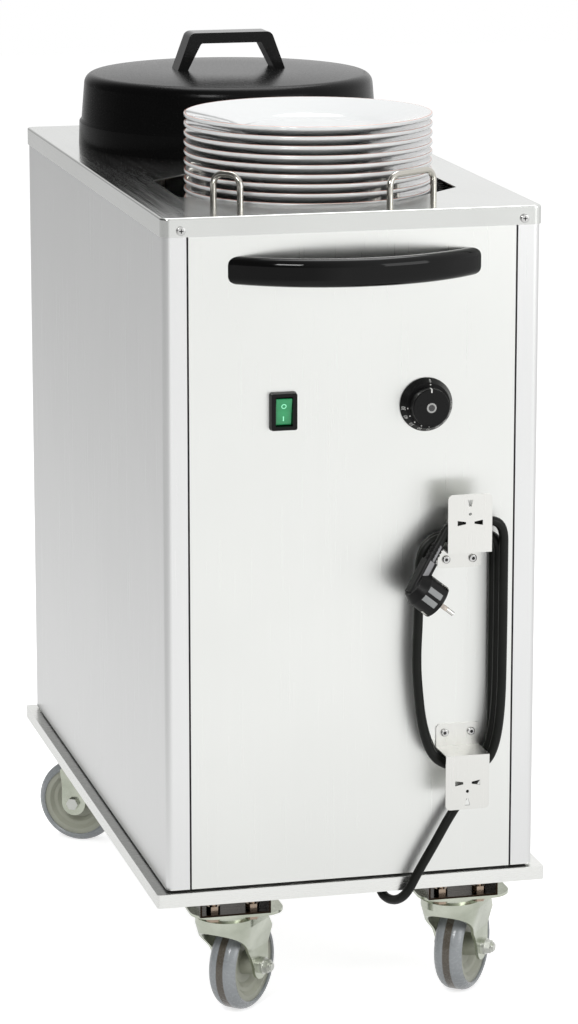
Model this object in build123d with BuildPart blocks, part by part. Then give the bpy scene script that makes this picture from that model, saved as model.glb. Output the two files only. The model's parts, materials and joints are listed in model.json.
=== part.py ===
from build123d import *
import math
import os

os.makedirs("parts", exist_ok=True)

# A heated trolley that dispenses two stacks of plates from sprung wells, in millimetres.
# The floor is Z = 0, the operator stands at the front (-Y), and X runs to the operator's right.
# Places along Y are first given from the middle of the top cover, and mid_y brings them
# to the origin, which is under the middle of the whole outline.

# Sheet-metal body
sheet = 1.5
cover_width = 400.0
cover_depth = 754.0
cover_top = 865.0
cover_lip = 19.5
cover_corner = 9.0
cover_edge = 2.0
cover_clearance = 0.2
corner_flange = 24.3
flange_return = 12.0
panel_gap = 2.0
panel_return = 15.0
foot_flange = 14.0
tray_width = 419.4
tray_depth = 762.0
tray_top = 158.0
tray_lip = 14.5
tray_corner = 3.0
seal_height = 2.2
seal_width = 10.0
seal_inset = 6.0

# Wells and the guides beside them
opening_width = 300.0
front_well = -168.0
rear_well = 188.0
rod_diameter = 6.8
guide_height = 32.0
guide_bend = 12.0
guide_reach = 155.0
short_span = 16.3
rear_span = 14.0
stud_diameter = 5.0
stud_length = 8.0
stud_clearance = 0.15
guide_nut_width = 8.0
guide_nut_height = 4.0

# Plates
plate_count = 10
plate_radius = 132.0
plate_height = 25.0
plate_pitch = 9.9
plate_foot = 66.0
plate_foot_height = 4.0
plate_foot_slope = 3.0
plate_well_slope = 6.0
plate_rim_slope = 1.0
plate_edge = 4.0
plate_stack_x = 4.5
stack_top = 77.0

# Lifts
guide_rod_radius = 6.0
guide_rod_spacing = 256.0
rod_foot_radius = 16.0
rod_foot_height = 4.0
stop_radius = 11.0
stop_height = 8.0
stop_clearance = 1.0
bush_radius = 11.0
bush_height = 24.0
bush_clearance = 0.15
platform_radius = 120.0
platform_sheet = 2.0
platform_rim = 12.0
carrier_drop = 155.0
carrier_width = 344.0
carrier_depth = 300.0
carrier_sheet = 4.0
window_width = 196.0
window_depth = 190.0
window_corner = 12.0
hanger_width = 20.0
hanger_sheet = 4.0
hanger_inset = 8.0
empty_platform_top = 850.0
lift_up_travel = 20.0
spring_radius = 7.0
spring_x = 165.0
spring_y = 40.0

# Heaters
heater_height = 190.0
heater_tube_radius = 4.0
heater_length = 190.0
heater_span = 90.0
heater_bend = 40.0
heater_bracket_places = (-62.0, 42.0)
heater_bracket_margin = 10.0
heater_bracket_sheet = 2.0
heater_bracket_foot = 20.0
heater_clearance = 0.1

# Lid
lid_x = 2.0
lid_offset = 5.0
lid_radius = 171.5
lid_band = 25.0
lid_step = 3.3
lid_band_taper = 0.8
lid_taper = 4.2
lid_shoulder = 78.5
lid_height = 84.0
lid_shoulder_round = 12.0
lid_flat = 66.0
lid_wall = 2.5
lid_handle_base = 125.0
lid_handle_crown = 94.0
lid_handle_height = 42.0
lid_handle_bar = 12.0
lid_handle_depth = 32.0
lid_handle_round = 8.0
lid_handle_foot_round = 3.0
lid_screw_spacing = 112.0

# Push handle
handle_width = 266.0
handle_height = 29.0
handle_corner = 9.5
handle_reach = 50.0
handle_bar = 19.0
handle_end = 27.0
handle_round = 8.0
handle_x = 1.7
handle_level = 809.5

# Switch and thermostat
control_level = 663.0
switch_x = -74.3
bezel_width = 29.0
bezel_height = 40.0
bezel_step = 3.0
bezel_taper = 8.0
bezel_proud = 7.0
bezel_opening_width = 18.0
bezel_opening_height = 30.6
bezel_opening_corner = 1.0
bezel_depth = 24.0
rocker_clearance = 0.75
rocker_height = 28.0
rocker_proud = 4.0
rocker_bevel = 0.8
rocker_tilt = 10.0
rocker_pin_radius = 2.0
rocker_pin_reach = 1.2
rocker_pin_hole = 1.6
rocker_back = 3.0
rocker_back_inset = 4.5
rocker_side = 1.5
rocker_dip = 1.2
knob_x = 77.0
skirt_radius = 28.0
skirt_height = 9.0
skirt_slope = 4.5
skirt_edge = 1.6
skirt_wall = 2.5
skirt_floor = 3.0
cap_radius = 19.5
cap_bevel = 0.8
cap_foot = 1.4
knob_proud = 22.0
knob_gap = 0.4
spindle_radius = 3.0
spindle_reach = 12.0
spindle_end = 0.5
knob_hub_wall = 3.0
running_clearance = 0.06
bush_thread_radius = 5.0
bush_proud = 1.0
disc_radius = 5.2
disc_depth = 0.8
disc_proud = 0.3
disc_edge = 0.25
thermostat_width = 46.0
thermostat_height = 34.0
thermostat_depth = 28.0
panel_clearance = 0.15

# Cord brackets
bracket_width = 47.0
bracket_x = 114.0
bracket_standoff = 40.0
bracket_plate = 60.0
bracket_plate_low = 57.0
bracket_flange = 26.0
bracket_corner = 5.0
upper_ledge = 514.5
lower_ledge = 295.0
bracket_screw_spacing = 28.5
bracket_screw_reach = 16.5
slot_spacing = 18.0
slot_length = 9.0
slot_width = 5.5
slot_taper = 1.6
bracket_hole = 3.4
drop_slot_rise = 17.0
drop_slot_length = 7.2

# Cord
cord_diameter = 10.0
coil_start = 352.0
coil_right = 149.5
coil_left = 67.7
coil_right_step = 2.25
coil_left_step = 3.0
first_strand = -380.8
strand_pitch = 5.45
coil_top = 526.0
coil_bottom = 281.0
top_right_radius = 22.0
top_left_radius = 44.0
bottom_left_radius = 48.0
bottom_right_radius = 26.0
coil_rounds = 2
turn_arc = 60.0
exit_radius = 22.0
corner_share = 0.45
exit_straight = 10.5
gland_place = (38.0, -343.0)
gland_bottom = 149.0
gland_thread_radius = 8.0
gland_hex_radius = 11.0
gland_hex_height = 4.0
gland_nut_height = 5.0
gland_seal = 1.5
gland_taper = 2.5
gland_thread_end = 1.0
terminal_place = (-20.0, -337.0)
terminal_base = (52.0, 20.0, 8.0)
terminal_top = (52.0, 12.0, 9.0)

# Plug
plug_face = (77.0, -421.0, 465.0)
plug_axis = (0.783, 0.0, -0.622)
plug_radius = 18.5
plug_depth = 31.0
plug_back_radius = 13.5
plug_back_taper = 9.0
neck_foot = (51.0, -421.0, 474.0)
neck_axis = (0.524, 0.172, 0.834)
neck_radius = 7.2
neck_length = 39.0
relief_length = 19.0
relief_rib_radius = 6.6
relief_core_radius = 5.6
relief_ribs = 5
relief_rib_share = 0.6
pin_radius = 2.4
pin_length = 19.0
pin_spacing = 19.0
pin_sleeve_radius = 2.6
pin_sleeve_length = 10.0
pin_seat = 6.0

# Castors
castor_x = 124.0
front_castor_y = -325.0
rear_castor_y = 315.0
castor_trail = 34.0
castor_headings = {
    "front_left": 48.0,
    "front_right": 53.0,
    "rear_left": 147.0,
    "rear_right": 36.0,
}
wheel_radius = 50.0
tyre_width = 32.0
tyre_depth = 9.0
tyre_round = 10.0
tyre_bead = 1.0
tyre_side = 2.0
tyre_bulge = (2.5, 3.4)
rim_ring_width = 26.0
rim_steps = ((0.0, 6.0), (4.0, 10.0), (5.0, 14.0))
web_half_width = 4.0
web_outside = 19.0
hub_flare = 2.0
hub_radius = 11.0
fork_wall = 3.0
fork_crown_radius = 33.0
fork_leg_half_width = 24.0
fork_crown_top = 113.0
fork_crown_rear = 24.0
fork_nose_bottom = 101.0
fork_heel = 92.0
fork_arch = (2.0, 76.0)
fork_tail = 5.0
fork_margin = 3.0
fork_taper_top = 105.0
fork_taper_bottom = 72.0
fork_boss_radius = 15.0
race_radius = 28.0
race_split = 118.0
king_radius = 7.0
king_head_radius = 11.0
king_head_height = 4.0
swivel_gap = 0.15
castor_plate_width = 100.0
castor_plate_shift = 6.0
castor_plate_depth = 90.0
castor_plate_sheet = 3.0
castor_plate_corner = 24.0
castor_plate_bottom = 123.0
channel_width = 76.0
channel_sheet = 2.0
bolt_spacing_x = 42.0
bolt_spacing_y = 62.0
bolt_radius = 4.0
bolt_head_width = 13.0
bolt_head_height = 5.3
nut_height = 6.5
bolt_end = 2.0
axle_clearance = 0.08
axle_washer_radius = 9.0
axle_washer = 4.5
axle_nut_height = 7.4
axle_nut_flats = 5.5
axle_collar_inset = 0.8
axle_end = 1.5

# Fasteners of the sheet metal
cover_screw_x = 180.0
cover_screw_level = 852.0
pan_head_radius = 4.7
pan_head_height = 2.6
pan_head_round = 1.4
screw_radius = 2.2
screw_length = 8.0
bracket_screw_radius = 4.3
screw_nut_width = 8.0
screw_nut_height = 3.2
handle_screw_length = 10.0
screw_hole_end = 0.5
screw_end = 1.0

# Sizes that follow from the ones above
body_width = cover_width - 2 * (sheet + cover_clearance)
body_depth = cover_depth - 2 * (sheet + cover_clearance)
body_corner = cover_corner - sheet - cover_clearance
body_top = cover_top - sheet
body_bottom = tray_top + seal_height
body_height = body_top - body_bottom
panel_width = body_width - 2 * corner_flange - 2 * panel_gap
tray_underside = tray_top - sheet
mid_y = (handle_reach + body_depth / 2 - tray_depth / 2) / 2
front_y = mid_y - body_depth / 2
rear_y = mid_y + body_depth / 2
stack_y = mid_y + front_well
plate_stack_base = cover_top + stack_top - plate_height - (plate_count - 1) * plate_pitch
lid_y = mid_y + rear_well + lid_offset
cord_radius = cord_diameter / 2


def level(z):
    """A horizontal plane at height z, centred under the top cover."""
    return Plane(origin=(0, mid_y, z))


def facing_front(y):
    """An upright plane whose X and Y run along the trolley's X and Z, looking at the front."""
    return Plane(origin=(0, y, 0), x_dir=(1, 0, 0), z_dir=(0, -1, 0))


def facing_right(x):
    """An upright plane whose X and Y run along the trolley's Y and Z."""
    return Plane(origin=(x, 0, 0), x_dir=(0, 1, 0), z_dir=(1, 0, 0))


def along(start, direction):
    """The plane at start that looks along direction, with its X level."""
    normal = Vector(*direction).normalized()
    side = Vector(0, 0, 1).cross(normal)
    if side.length < 0.01:
        side = Vector(1, 0, 0)
    return Plane(origin=start, x_dir=side, z_dir=normal)


def save(part, name):
    """Label a finished piece and write it."""
    part.label = name
    export_step(part, f"parts/{name}.step")


def guide_feet(wells=("front", "rear")):
    """The two feet of every plate guide beside the named wells, from the middle of the cover."""
    def short_guide(well, side_x, side_y, span):
        diagonal = math.sqrt(0.5)
        outer = (guide_reach + span) * diagonal
        inner = (guide_reach - span) * diagonal
        return (side_x * outer, well + side_y * inner), (side_x * inner, well + side_y * outer)

    front = [
        short_guide(front_well, -1, -1, short_span),
        ((51.0, front_well - 158.0), (108.0, front_well - 121.0)),
        short_guide(front_well, 1, 1, short_span),
        ((-69.0, front_well + 150.0), (-92.0, front_well + 127.0)),
    ]
    rear = [short_guide(rear_well, x, y, rear_span) for x in (-1, 1) for y in (-1, 1)]
    return front * ("front" in wells) + rear * ("rear" in wells)


# Body

def make_top_cover():
    """The folded top with its two eight-sided openings."""
    with BuildPart() as top_cover:
        with BuildSketch(level(cover_top)):
            RectangleRounded(cover_width, cover_depth, cover_corner)
        extrude(amount=-cover_lip)
        fillet(top_cover.faces().sort_by(Axis.Z)[-1].edges(), cover_edge)
        with BuildSketch(level(body_top)):
            RectangleRounded(cover_width - 2 * sheet, cover_depth - 2 * sheet, cover_corner - sheet)
        extrude(amount=-cover_lip, mode=Mode.SUBTRACT)
        with BuildSketch(level(cover_top)):
            with Locations((0, front_well), (0, rear_well)):
                RegularPolygon(opening_width / 2, 8, major_radius=False, rotation=22.5)
            for feet in guide_feet():
                with Locations(*feet):
                    Circle(stud_diameter / 2 + stud_clearance)
        extrude(amount=-2 * sheet, mode=Mode.SUBTRACT)
        with BuildSketch(facing_front(mid_y)):
            with Locations((-cover_screw_x, cover_screw_level), (cover_screw_x, cover_screw_level)):
                Circle(screw_radius + panel_clearance)
        extrude(amount=cover_depth, both=True, mode=Mode.SUBTRACT)
    save(top_cover.part, "top_cover")


def make_side_panel(side, name):
    """One side with its front and rear flanges, their inward returns and its foot flange."""
    wall_x = side * body_width / 2
    flange_x = side * (body_width / 2 - corner_flange)
    with BuildPart() as side_panel:
        with BuildSketch(level(body_bottom)):
            RectangleRounded(body_width, body_depth, body_corner)
            RectangleRounded(
                body_width - 2 * sheet, body_depth - 2 * sheet, body_corner - sheet, mode=Mode.SUBTRACT
            )
            with Locations(((wall_x + flange_x) / 2, 0)):
                Rectangle(corner_flange, body_depth, mode=Mode.INTERSECT)
            for end in (-1, 1):
                with Locations((flange_x + side * sheet / 2, end * (body_depth - flange_return) / 2)):
                    Rectangle(sheet, flange_return)
        extrude(amount=body_height)
        with BuildSketch(level(body_bottom)):
            with Locations((wall_x - side * (foot_flange + sheet) / 2, 0)):
                Rectangle(foot_flange - sheet, body_depth - 2 * body_corner)
        extrude(amount=sheet)
        with BuildSketch(facing_front(mid_y)):
            with Locations((side * cover_screw_x, cover_screw_level)):
                Circle(screw_radius)
        extrude(amount=cover_depth, both=True, mode=Mode.SUBTRACT)
    save(side_panel.part, name)


def panel_blank(face_y, inward):
    """The profile of a front or rear panel seen from above: a face and two returns."""
    with BuildSketch(Plane(origin=(0, face_y, body_bottom))) as blank:
        with Locations((0, inward * sheet / 2)):
            Rectangle(panel_width, sheet)
        with Locations(
            (-(panel_width - sheet) / 2, inward * panel_return / 2),
            ((panel_width - sheet) / 2, inward * panel_return / 2),
        ):
            Rectangle(sheet, panel_return)
    return blank.sketch


def panel_flanges(face_y, inward):
    """The foot and head flanges of a front or rear panel."""
    with BuildPart() as flanges:
        for z, height in ((body_bottom, sheet), (body_top, -sheet)):
            with BuildSketch(Plane(origin=(0, face_y, z))):
                with Locations((0, inward * foot_flange / 2)):
                    Rectangle(panel_width - 2 * sheet, foot_flange)
            extrude(amount=height)
    return flanges.part


def make_front_panel():
    """The panel that carries the handle, the controls and the cord brackets."""
    blank = panel_blank(front_y, 1)
    flanges = panel_flanges(front_y, 1)
    with BuildPart() as front_panel:
        extrude(blank, amount=body_height)
        add(flanges)
        with BuildSketch(facing_front(front_y)):
            with Locations((switch_x, control_level)):
                Rectangle(
                    bezel_width - bezel_step + 2 * panel_clearance,
                    bezel_height - bezel_step + 2 * panel_clearance,
                )
            with Locations((knob_x, control_level)):
                Circle(bush_thread_radius + panel_clearance)
            with Locations(*handle_screw_places()):
                Circle(screw_radius + panel_clearance)
            with Locations(*bracket_screw_places()):
                Circle(screw_radius + panel_clearance)
        extrude(amount=-2 * sheet, mode=Mode.SUBTRACT)
    save(front_panel.part, "front_panel")


def make_rear_panel():
    """The plain panel at the back."""
    blank = panel_blank(rear_y, -1)
    flanges = panel_flanges(rear_y, -1)
    with BuildPart() as rear_panel:
        extrude(blank, amount=body_height)
        add(flanges)
    save(rear_panel.part, "rear_panel")


def make_base_tray():
    """The folded tray under the body, with its lip turned down all round."""
    with BuildPart() as base_tray:
        with BuildSketch(level(tray_top)):
            RectangleRounded(tray_width, tray_depth, tray_corner)
        extrude(amount=-tray_lip)
        with BuildSketch(level(tray_underside)):
            RectangleRounded(tray_width - 2 * sheet, tray_depth - 2 * sheet, tray_corner - sheet)
        extrude(amount=-tray_lip, mode=Mode.SUBTRACT)
        with BuildSketch(level(tray_top)):
            with Locations(gland_place):
                Circle(gland_thread_radius + panel_clearance)
        extrude(amount=-2 * sheet, mode=Mode.SUBTRACT)
    save(base_tray.part, "base_tray")


def make_base_seal():
    """The dark ring between the tray and the body."""
    with BuildPart() as base_seal:
        with BuildSketch(level(tray_top)):
            Rectangle(body_width - 2 * seal_inset, body_depth - 2 * seal_inset)
            Rectangle(
                body_width - 2 * seal_inset - 2 * seal_width,
                body_depth - 2 * seal_inset - 2 * seal_width,
                mode=Mode.SUBTRACT,
            )
        extrude(amount=seal_height)
    save(base_seal.part, "base_seal")


# Fasteners

def pan_screw(head_plane, head_radius, shank, nut_at=None):
    """A pan-head screw whose head stands on head_plane and whose shank goes in behind it."""
    with BuildPart() as screw:
        with BuildSketch(head_plane):
            Circle(head_radius)
        extrude(amount=pan_head_height)
        fillet(screw.edges().filter_by(GeomType.CIRCLE).sort_by(Axis((0, 0, 0), head_plane.z_dir))[-1],
               pan_head_round)
        with BuildSketch(head_plane):
            Circle(screw_radius)
        extrude(amount=-shank)
        if nut_at is not None:
            with BuildSketch(head_plane.offset(-nut_at)):
                RegularPolygon(screw_nut_width / 2, 6, major_radius=False)
            extrude(amount=-screw_nut_height)
    return screw.part


def handle_screw_places():
    """Where the push handle's screws cross the front panel, as (x, z)."""
    reach = (handle_width - handle_end) / 2
    return (handle_x - reach, handle_level), (handle_x + reach, handle_level)


def bracket_screw_places():
    """Where the cord brackets' screws cross the front panel, as (x, z)."""
    half = bracket_screw_spacing / 2
    return [
        (bracket_x + side * half, z)
        for z in (upper_ledge - bracket_screw_reach, lower_ledge + bracket_screw_reach)
        for side in (-1, 1)
    ]


def make_cover_screws():
    """The four screws that hold the cover's lip to the corner flanges."""
    screws = []
    for x in (-cover_screw_x, cover_screw_x):
        for side in (-1, 1):
            place = (x, mid_y + side * cover_depth / 2, cover_screw_level)
            head_plane = Plane(origin=place, x_dir=(1, 0, 0), z_dir=(0, side, 0))
            screws.append(pan_screw(head_plane, pan_head_radius, screw_length))
    with BuildPart() as cover_screws:
        add(screws)
    save(cover_screws.part, "cover_screws")


def make_bracket_screws():
    """The four screws of the cord brackets, with nuts behind the front panel."""
    screws = []
    for x, z in bracket_screw_places():
        head_plane = Plane(origin=(x, front_y - sheet, z), x_dir=(1, 0, 0), z_dir=(0, -1, 0))
        shank = 2 * sheet + screw_nut_height + screw_end
        screws.append(pan_screw(head_plane, bracket_screw_radius, shank, 2 * sheet))
    with BuildPart() as bracket_screws:
        add(screws)
    save(bracket_screws.part, "bracket_screws")


def make_handle_screws():
    """The two screws that hold the push handle from inside the panel."""
    screws = []
    for x, z in handle_screw_places():
        head_plane = Plane(origin=(x, front_y + sheet, z), x_dir=(-1, 0, 0), z_dir=(0, 1, 0))
        screws.append(pan_screw(head_plane, pan_head_radius, handle_screw_length))
    with BuildPart() as handle_screws:
        add(screws)
    save(handle_screws.part, "handle_screws")


# Push handle

def make_push_handle():
    """A moulded bow: a flat arc seen from above, with rounded corners seen from the front."""
    half = handle_width / 2
    with BuildSketch(Plane(origin=(handle_x, front_y, handle_level))) as bow:
        with BuildLine():
            outer = ThreePointArc((-half, 0), (0, -handle_reach), (half, 0))
            Line(outer @ 0, outer @ 1)
        make_face()
        with BuildLine():
            inner = ThreePointArc(
                (handle_end - half, 0), (0, handle_bar - handle_reach), (half - handle_end, 0)
            )
            Line(inner @ 0, inner @ 1)
        make_face(mode=Mode.SUBTRACT)
    with BuildSketch(facing_front(front_y)) as elevation:
        with Locations((handle_x, handle_level)):
            RectangleRounded(handle_width, handle_height, handle_corner)
    with BuildPart() as push_handle:
        extrude(bow.sketch, amount=handle_height / 2, both=True)
        fillet(push_handle.edges().filter_by(GeomType.CIRCLE), min(handle_round, 0.42 * handle_bar))
        extrude(elevation.sketch, amount=handle_reach, mode=Mode.INTERSECT)
        with BuildSketch(facing_front(front_y)):
            with Locations(*handle_screw_places()):
                Circle(screw_radius)
        extrude(amount=handle_screw_length - sheet + screw_hole_end, mode=Mode.SUBTRACT)
    save(push_handle.part, "push_handle")


# Controls

def make_switch_bezel():
    """The switch's housing: a deep frame in front of the panel and a box behind it."""
    with BuildPart() as switch_bezel:
        with BuildSketch(facing_front(front_y)):
            with Locations((switch_x, control_level)):
                RectangleRounded(bezel_width, bezel_height, bezel_step)
        extrude(amount=bezel_proud, taper=bezel_taper)
        with BuildSketch(facing_front(front_y)):
            with Locations((switch_x, control_level)):
                Rectangle(bezel_width - bezel_step, bezel_height - bezel_step)
        extrude(amount=-bezel_depth)
        with BuildSketch(facing_front(front_y - bezel_proud)):
            with Locations((switch_x, control_level)):
                RectangleRounded(bezel_opening_width, bezel_opening_height, bezel_opening_corner)
        extrude(amount=-(bezel_proud + bezel_depth / 2), mode=Mode.SUBTRACT)
        with BuildSketch(facing_right(switch_x)):
            with Locations((front_y, control_level)):
                Circle(rocker_pin_radius + running_clearance)
        extrude(amount=bezel_opening_width / 2 + rocker_pin_hole, both=True, mode=Mode.SUBTRACT)
    save(switch_bezel.part, "switch_bezel")


def make_switch_rocker():
    """The rocker on its two pins, at rest with its lower half pressed in."""
    tilt = math.radians(rocker_tilt)
    outward = (0, -math.cos(tilt), -math.sin(tilt))
    rocker_plane = Plane(origin=(switch_x, front_y, control_level), x_dir=outward, z_dir=(1, 0, 0))
    half = rocker_height / 2
    half_width = bezel_opening_width / 2 - rocker_clearance
    with BuildPart() as switch_rocker:
        with BuildSketch(rocker_plane):
            with BuildLine():
                Polyline(
                    (-rocker_back, rocker_back_inset - half), (rocker_side, -half),
                    (rocker_proud - rocker_bevel, -half), (rocker_proud, rocker_bevel - half),
                    (rocker_proud - rocker_dip, 0),
                    (rocker_proud, half - rocker_bevel), (rocker_proud - rocker_bevel, half),
                    (rocker_side, half), (-rocker_back, half - rocker_back_inset), close=True,
                )
            make_face()
        extrude(amount=half_width, both=True)
        with BuildSketch(rocker_plane):
            Circle(rocker_pin_radius)
        extrude(amount=bezel_opening_width / 2 + rocker_pin_reach, both=True)
    save(switch_rocker.part, "switch_rocker")


def knob_plane(proud):
    """A plane across the knob's axis, this far in front of the panel."""
    return Plane(origin=(knob_x, front_y - proud, control_level), x_dir=(1, 0, 0), z_dir=(0, -1, 0))


def make_thermostat():
    """The thermostat behind the panel, with the threaded bush that the knob's spindle runs in."""
    with BuildPart() as thermostat:
        with BuildSketch(knob_plane(-sheet)):
            Rectangle(thermostat_width, thermostat_height)
        extrude(amount=-thermostat_depth)
        with BuildSketch(knob_plane(-sheet)):
            Circle(bush_thread_radius)
        extrude(amount=sheet + bush_proud)
        with BuildSketch(knob_plane(bush_proud)):
            Circle(spindle_radius + running_clearance)
        extrude(amount=-spindle_reach - bush_proud, mode=Mode.SUBTRACT)
    save(thermostat.part, "thermostat")


def make_thermostat_knob():
    """The knob: a flared skirt, a round cap and the spindle, turned about one axis."""
    axis_plane = Plane(origin=(knob_x, front_y, control_level), x_dir=(1, 0, 0), z_dir=(0, 0, -1))
    hub_back = bush_proud + knob_gap
    hub = spindle_radius + knob_hub_wall
    floor = skirt_height - skirt_floor
    back = spindle_end - spindle_reach
    with BuildPart() as thermostat_knob:
        with BuildSketch(axis_plane):
            with BuildLine():
                Polyline(
                    (0, knob_proud - disc_depth),
                    (disc_radius, knob_proud - disc_depth),
                    (disc_radius, knob_proud),
                    (cap_radius - cap_bevel, knob_proud),
                    (cap_radius, knob_proud - cap_bevel),
                    (cap_radius + cap_foot - cap_bevel, skirt_height + cap_bevel),
                    (cap_radius + cap_foot, skirt_height),
                    (skirt_radius - skirt_slope, skirt_height),
                    (skirt_radius, skirt_edge),
                    (skirt_radius, knob_gap),
                    (skirt_radius - skirt_wall, knob_gap),
                    (skirt_radius - skirt_slope - skirt_wall, floor),
                    (hub, floor), (hub, hub_back),
                    (spindle_radius, hub_back), (spindle_radius, back), (0, back),
                    close=True,
                )
            make_face()
        revolve(axis=Axis((knob_x, front_y, control_level), (0, -1, 0)))
    save(thermostat_knob.part, "thermostat_knob")


def make_knob_disc():
    """The bare bright disc let into the knob's cap."""
    with BuildPart() as knob_disc:
        with BuildSketch(knob_plane(knob_proud - disc_depth)):
            Circle(disc_radius)
        extrude(amount=disc_depth + disc_proud)
        fillet(knob_disc.edges().sort_by(Axis.Y)[0], disc_edge)
    save(knob_disc.part, "knob_disc")


# Cord brackets

def make_cord_bracket(ledge, rise, plate_length, name):
    """A cord bracket: a flange on the panel, a ledge, and a plate that turns away from the flange."""
    outer_y = front_y - bracket_standoff
    left = bracket_x - bracket_width / 2
    flange_end = ledge - rise * bracket_flange
    plate_end = ledge + rise * plate_length
    with BuildPart() as bracket:
        with BuildSketch(facing_right(left)):
            with BuildLine():
                Polyline(
                    (front_y, flange_end), (front_y, ledge), (outer_y + sheet, ledge),
                    (outer_y + sheet, plate_end), (outer_y, plate_end),
                    (outer_y, ledge - rise * sheet), (front_y - sheet, ledge - rise * sheet),
                    (front_y - sheet, flange_end), close=True,
                )
            make_face()
        extrude(amount=bracket_width)
        corners = bracket.edges().filter_by(Axis.Y).group_by(Axis.Z)
        fillet(corners[0] + corners[-1], bracket_corner)
        slots_z = ledge + rise * plate_length / 2
        hole_z = slots_z + rise * slot_spacing / 2
        drop_z = slots_z + rise * drop_slot_rise
        drop_end = drop_z + rise * drop_slot_length
        half = slot_length / 2
        with BuildSketch(facing_front(outer_y)):
            for side in (-1, 1):
                inner_x = bracket_x + side * (slot_spacing / 2 - half)
                outer_x = bracket_x + side * (slot_spacing / 2 + half)
                with BuildLine():
                    Polyline(
                        (inner_x, slots_z - slot_width / 2 + slot_taper),
                        (outer_x, slots_z - slot_width / 2),
                        (outer_x, slots_z + slot_width / 2),
                        (inner_x, slots_z + slot_width / 2 - slot_taper),
                        close=True,
                    )
                make_face()
            with Locations((bracket_x, hole_z)):
                Circle(bracket_hole / 2)
            with BuildLine():
                Polyline(
                    (bracket_x - slot_width / 2 + slot_taper, drop_z),
                    (bracket_x - slot_width / 2, drop_end),
                    (bracket_x + slot_width / 2, drop_end),
                    (bracket_x + slot_width / 2 - slot_taper, drop_z),
                    close=True,
                )
            make_face()
        extrude(amount=-2 * sheet, mode=Mode.SUBTRACT)
        holes = [place for place in bracket_screw_places() if abs(place[1] - ledge) < bracket_flange]
        with BuildSketch(facing_front(front_y)):
            with Locations(*holes):
                Circle(screw_radius + panel_clearance)
        extrude(amount=2 * sheet, both=True, mode=Mode.SUBTRACT)
    save(bracket.part, name)


# Cord and plug

def make_cable_gland():
    """The gland in the tray's floor that the cord comes out of."""
    centre = (gland_place[0], mid_y + gland_place[1])
    gland_plane = Plane(origin=(*centre, 0), x_dir=(1, 0, 0), z_dir=(0, -1, 0))
    thread_top = tray_top + gland_nut_height
    with BuildPart() as cable_gland:
        with BuildSketch(gland_plane):
            with BuildLine():
                Polyline(
                    (0, gland_bottom), (cord_radius + gland_seal, gland_bottom),
                    (gland_thread_radius, gland_bottom + gland_taper),
                    (gland_thread_radius, thread_top), (0, thread_top), close=True,
                )
            make_face()
        revolve(axis=Axis((*centre, 0), (0, 0, 1)))
        with BuildSketch(Plane(origin=(*centre, tray_underside))):
            RegularPolygon(gland_hex_radius, 6)
        extrude(amount=-gland_hex_height)
        with BuildSketch(Plane(origin=(*centre, tray_top))):
            RegularPolygon(gland_hex_radius, 6)
        extrude(amount=gland_nut_height - gland_thread_end)
    save(cable_gland.part, "cable_gland")


def sweep_cord(points, radii, name):
    """Sweep the cord's round section along straight runs joined by tangent arcs."""
    with BuildPart() as cord:
        with BuildLine() as line:
            FilletPolyline(*points, radius=radii)
        route = line.wires()[0]
        with BuildSketch(along(route @ 0, route % 0)):
            Circle(cord_radius)
        sweep(path=route)
    expected = math.pi * cord_radius ** 2 * route.length
    ratio = cord.part.volume / expected
    print(f"{name}: length {route.length:.0f} mm, volume over section x length {ratio:.4f}")
    save(cord.part, name)
    return route


def lead_points():
    """The free stretch, from the gland round the tray's lip and up beside the lower bracket."""
    route = [
        (gland_place[0], gland_place[1], gland_bottom),
        (38.0, -343.0, 128.0),
        (45.0, -366.0, 124.0),
        (54.0, -389.0, 137.0),
        (68.0, -391.5, 166.0),
        (86.0, -392.5, 197.0),
        (104.0, -391.0, 228.0),
        (126.0, -386.5, 254.0),
        (142.0, -381.2, 276.0),
        (148.5, first_strand, 301.0),
        (coil_right, first_strand, 328.0),
        (coil_right, first_strand, coil_start),
    ]
    return [Vector(x, mid_y + y, z) for x, y, z in route]


def fitted_radii(points):
    """The largest arc that each corner's two runs allow."""
    radii = []
    for before, corner, after in zip(points, points[1:], points[2:]):
        turn = (corner - before).get_angle(after - corner)
        shorter = min((corner - before).length, (after - corner).length)
        radii.append(corner_share * shorter / math.tan(math.radians(turn) / 2))
    return radii


def make_cord_lead():
    points = lead_points()
    radii = fitted_radii(points)
    print("cord_lead radii:", ", ".join(f"{radius:.0f}" for radius in radii))
    sweep_cord(points, radii, "cord_lead")


def coil_route():
    """Corners and arcs of the winding over the upper ledge and under the lower one.

    Each half turn goes one strand further out from the panel. The last one leaves behind
    the upper plate and bends down to the plug.
    """
    points = [(coil_right, first_strand, coil_start)]
    radii = []
    for turn in range(coil_rounds):
        right = coil_right + turn * coil_right_step
        left = coil_left - turn * coil_left_step
        next_right = right + coil_right_step
        up = first_strand - 2 * turn * strand_pitch
        down = up - strand_pitch
        next_up = down - strand_pitch
        points += [(right, up, coil_top), (left, down, coil_top)]
        points += [(left, down, coil_bottom), (next_right, next_up, coil_bottom)]
        radii += [top_right_radius, top_left_radius, bottom_left_radius, bottom_right_radius]
    neck = Vector(*neck_axis).normalized()
    relief_end = Vector(*neck_foot) + neck * (neck_length + relief_length)
    level_run = Vector(-1, 0, 0).get_angle(-neck)
    exit_tangent = exit_radius * math.tan(math.radians(level_run) / 2)
    exit_corner = relief_end + neck * (exit_straight + exit_tangent)
    last_right, last_up, _ = points[-1]
    points += [(last_right, last_up, exit_corner.Z), tuple(exit_corner), tuple(relief_end)]
    radii += [top_right_radius, exit_radius]
    return [Vector(x, mid_y + y, z) for x, y, z in points], radii


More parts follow.
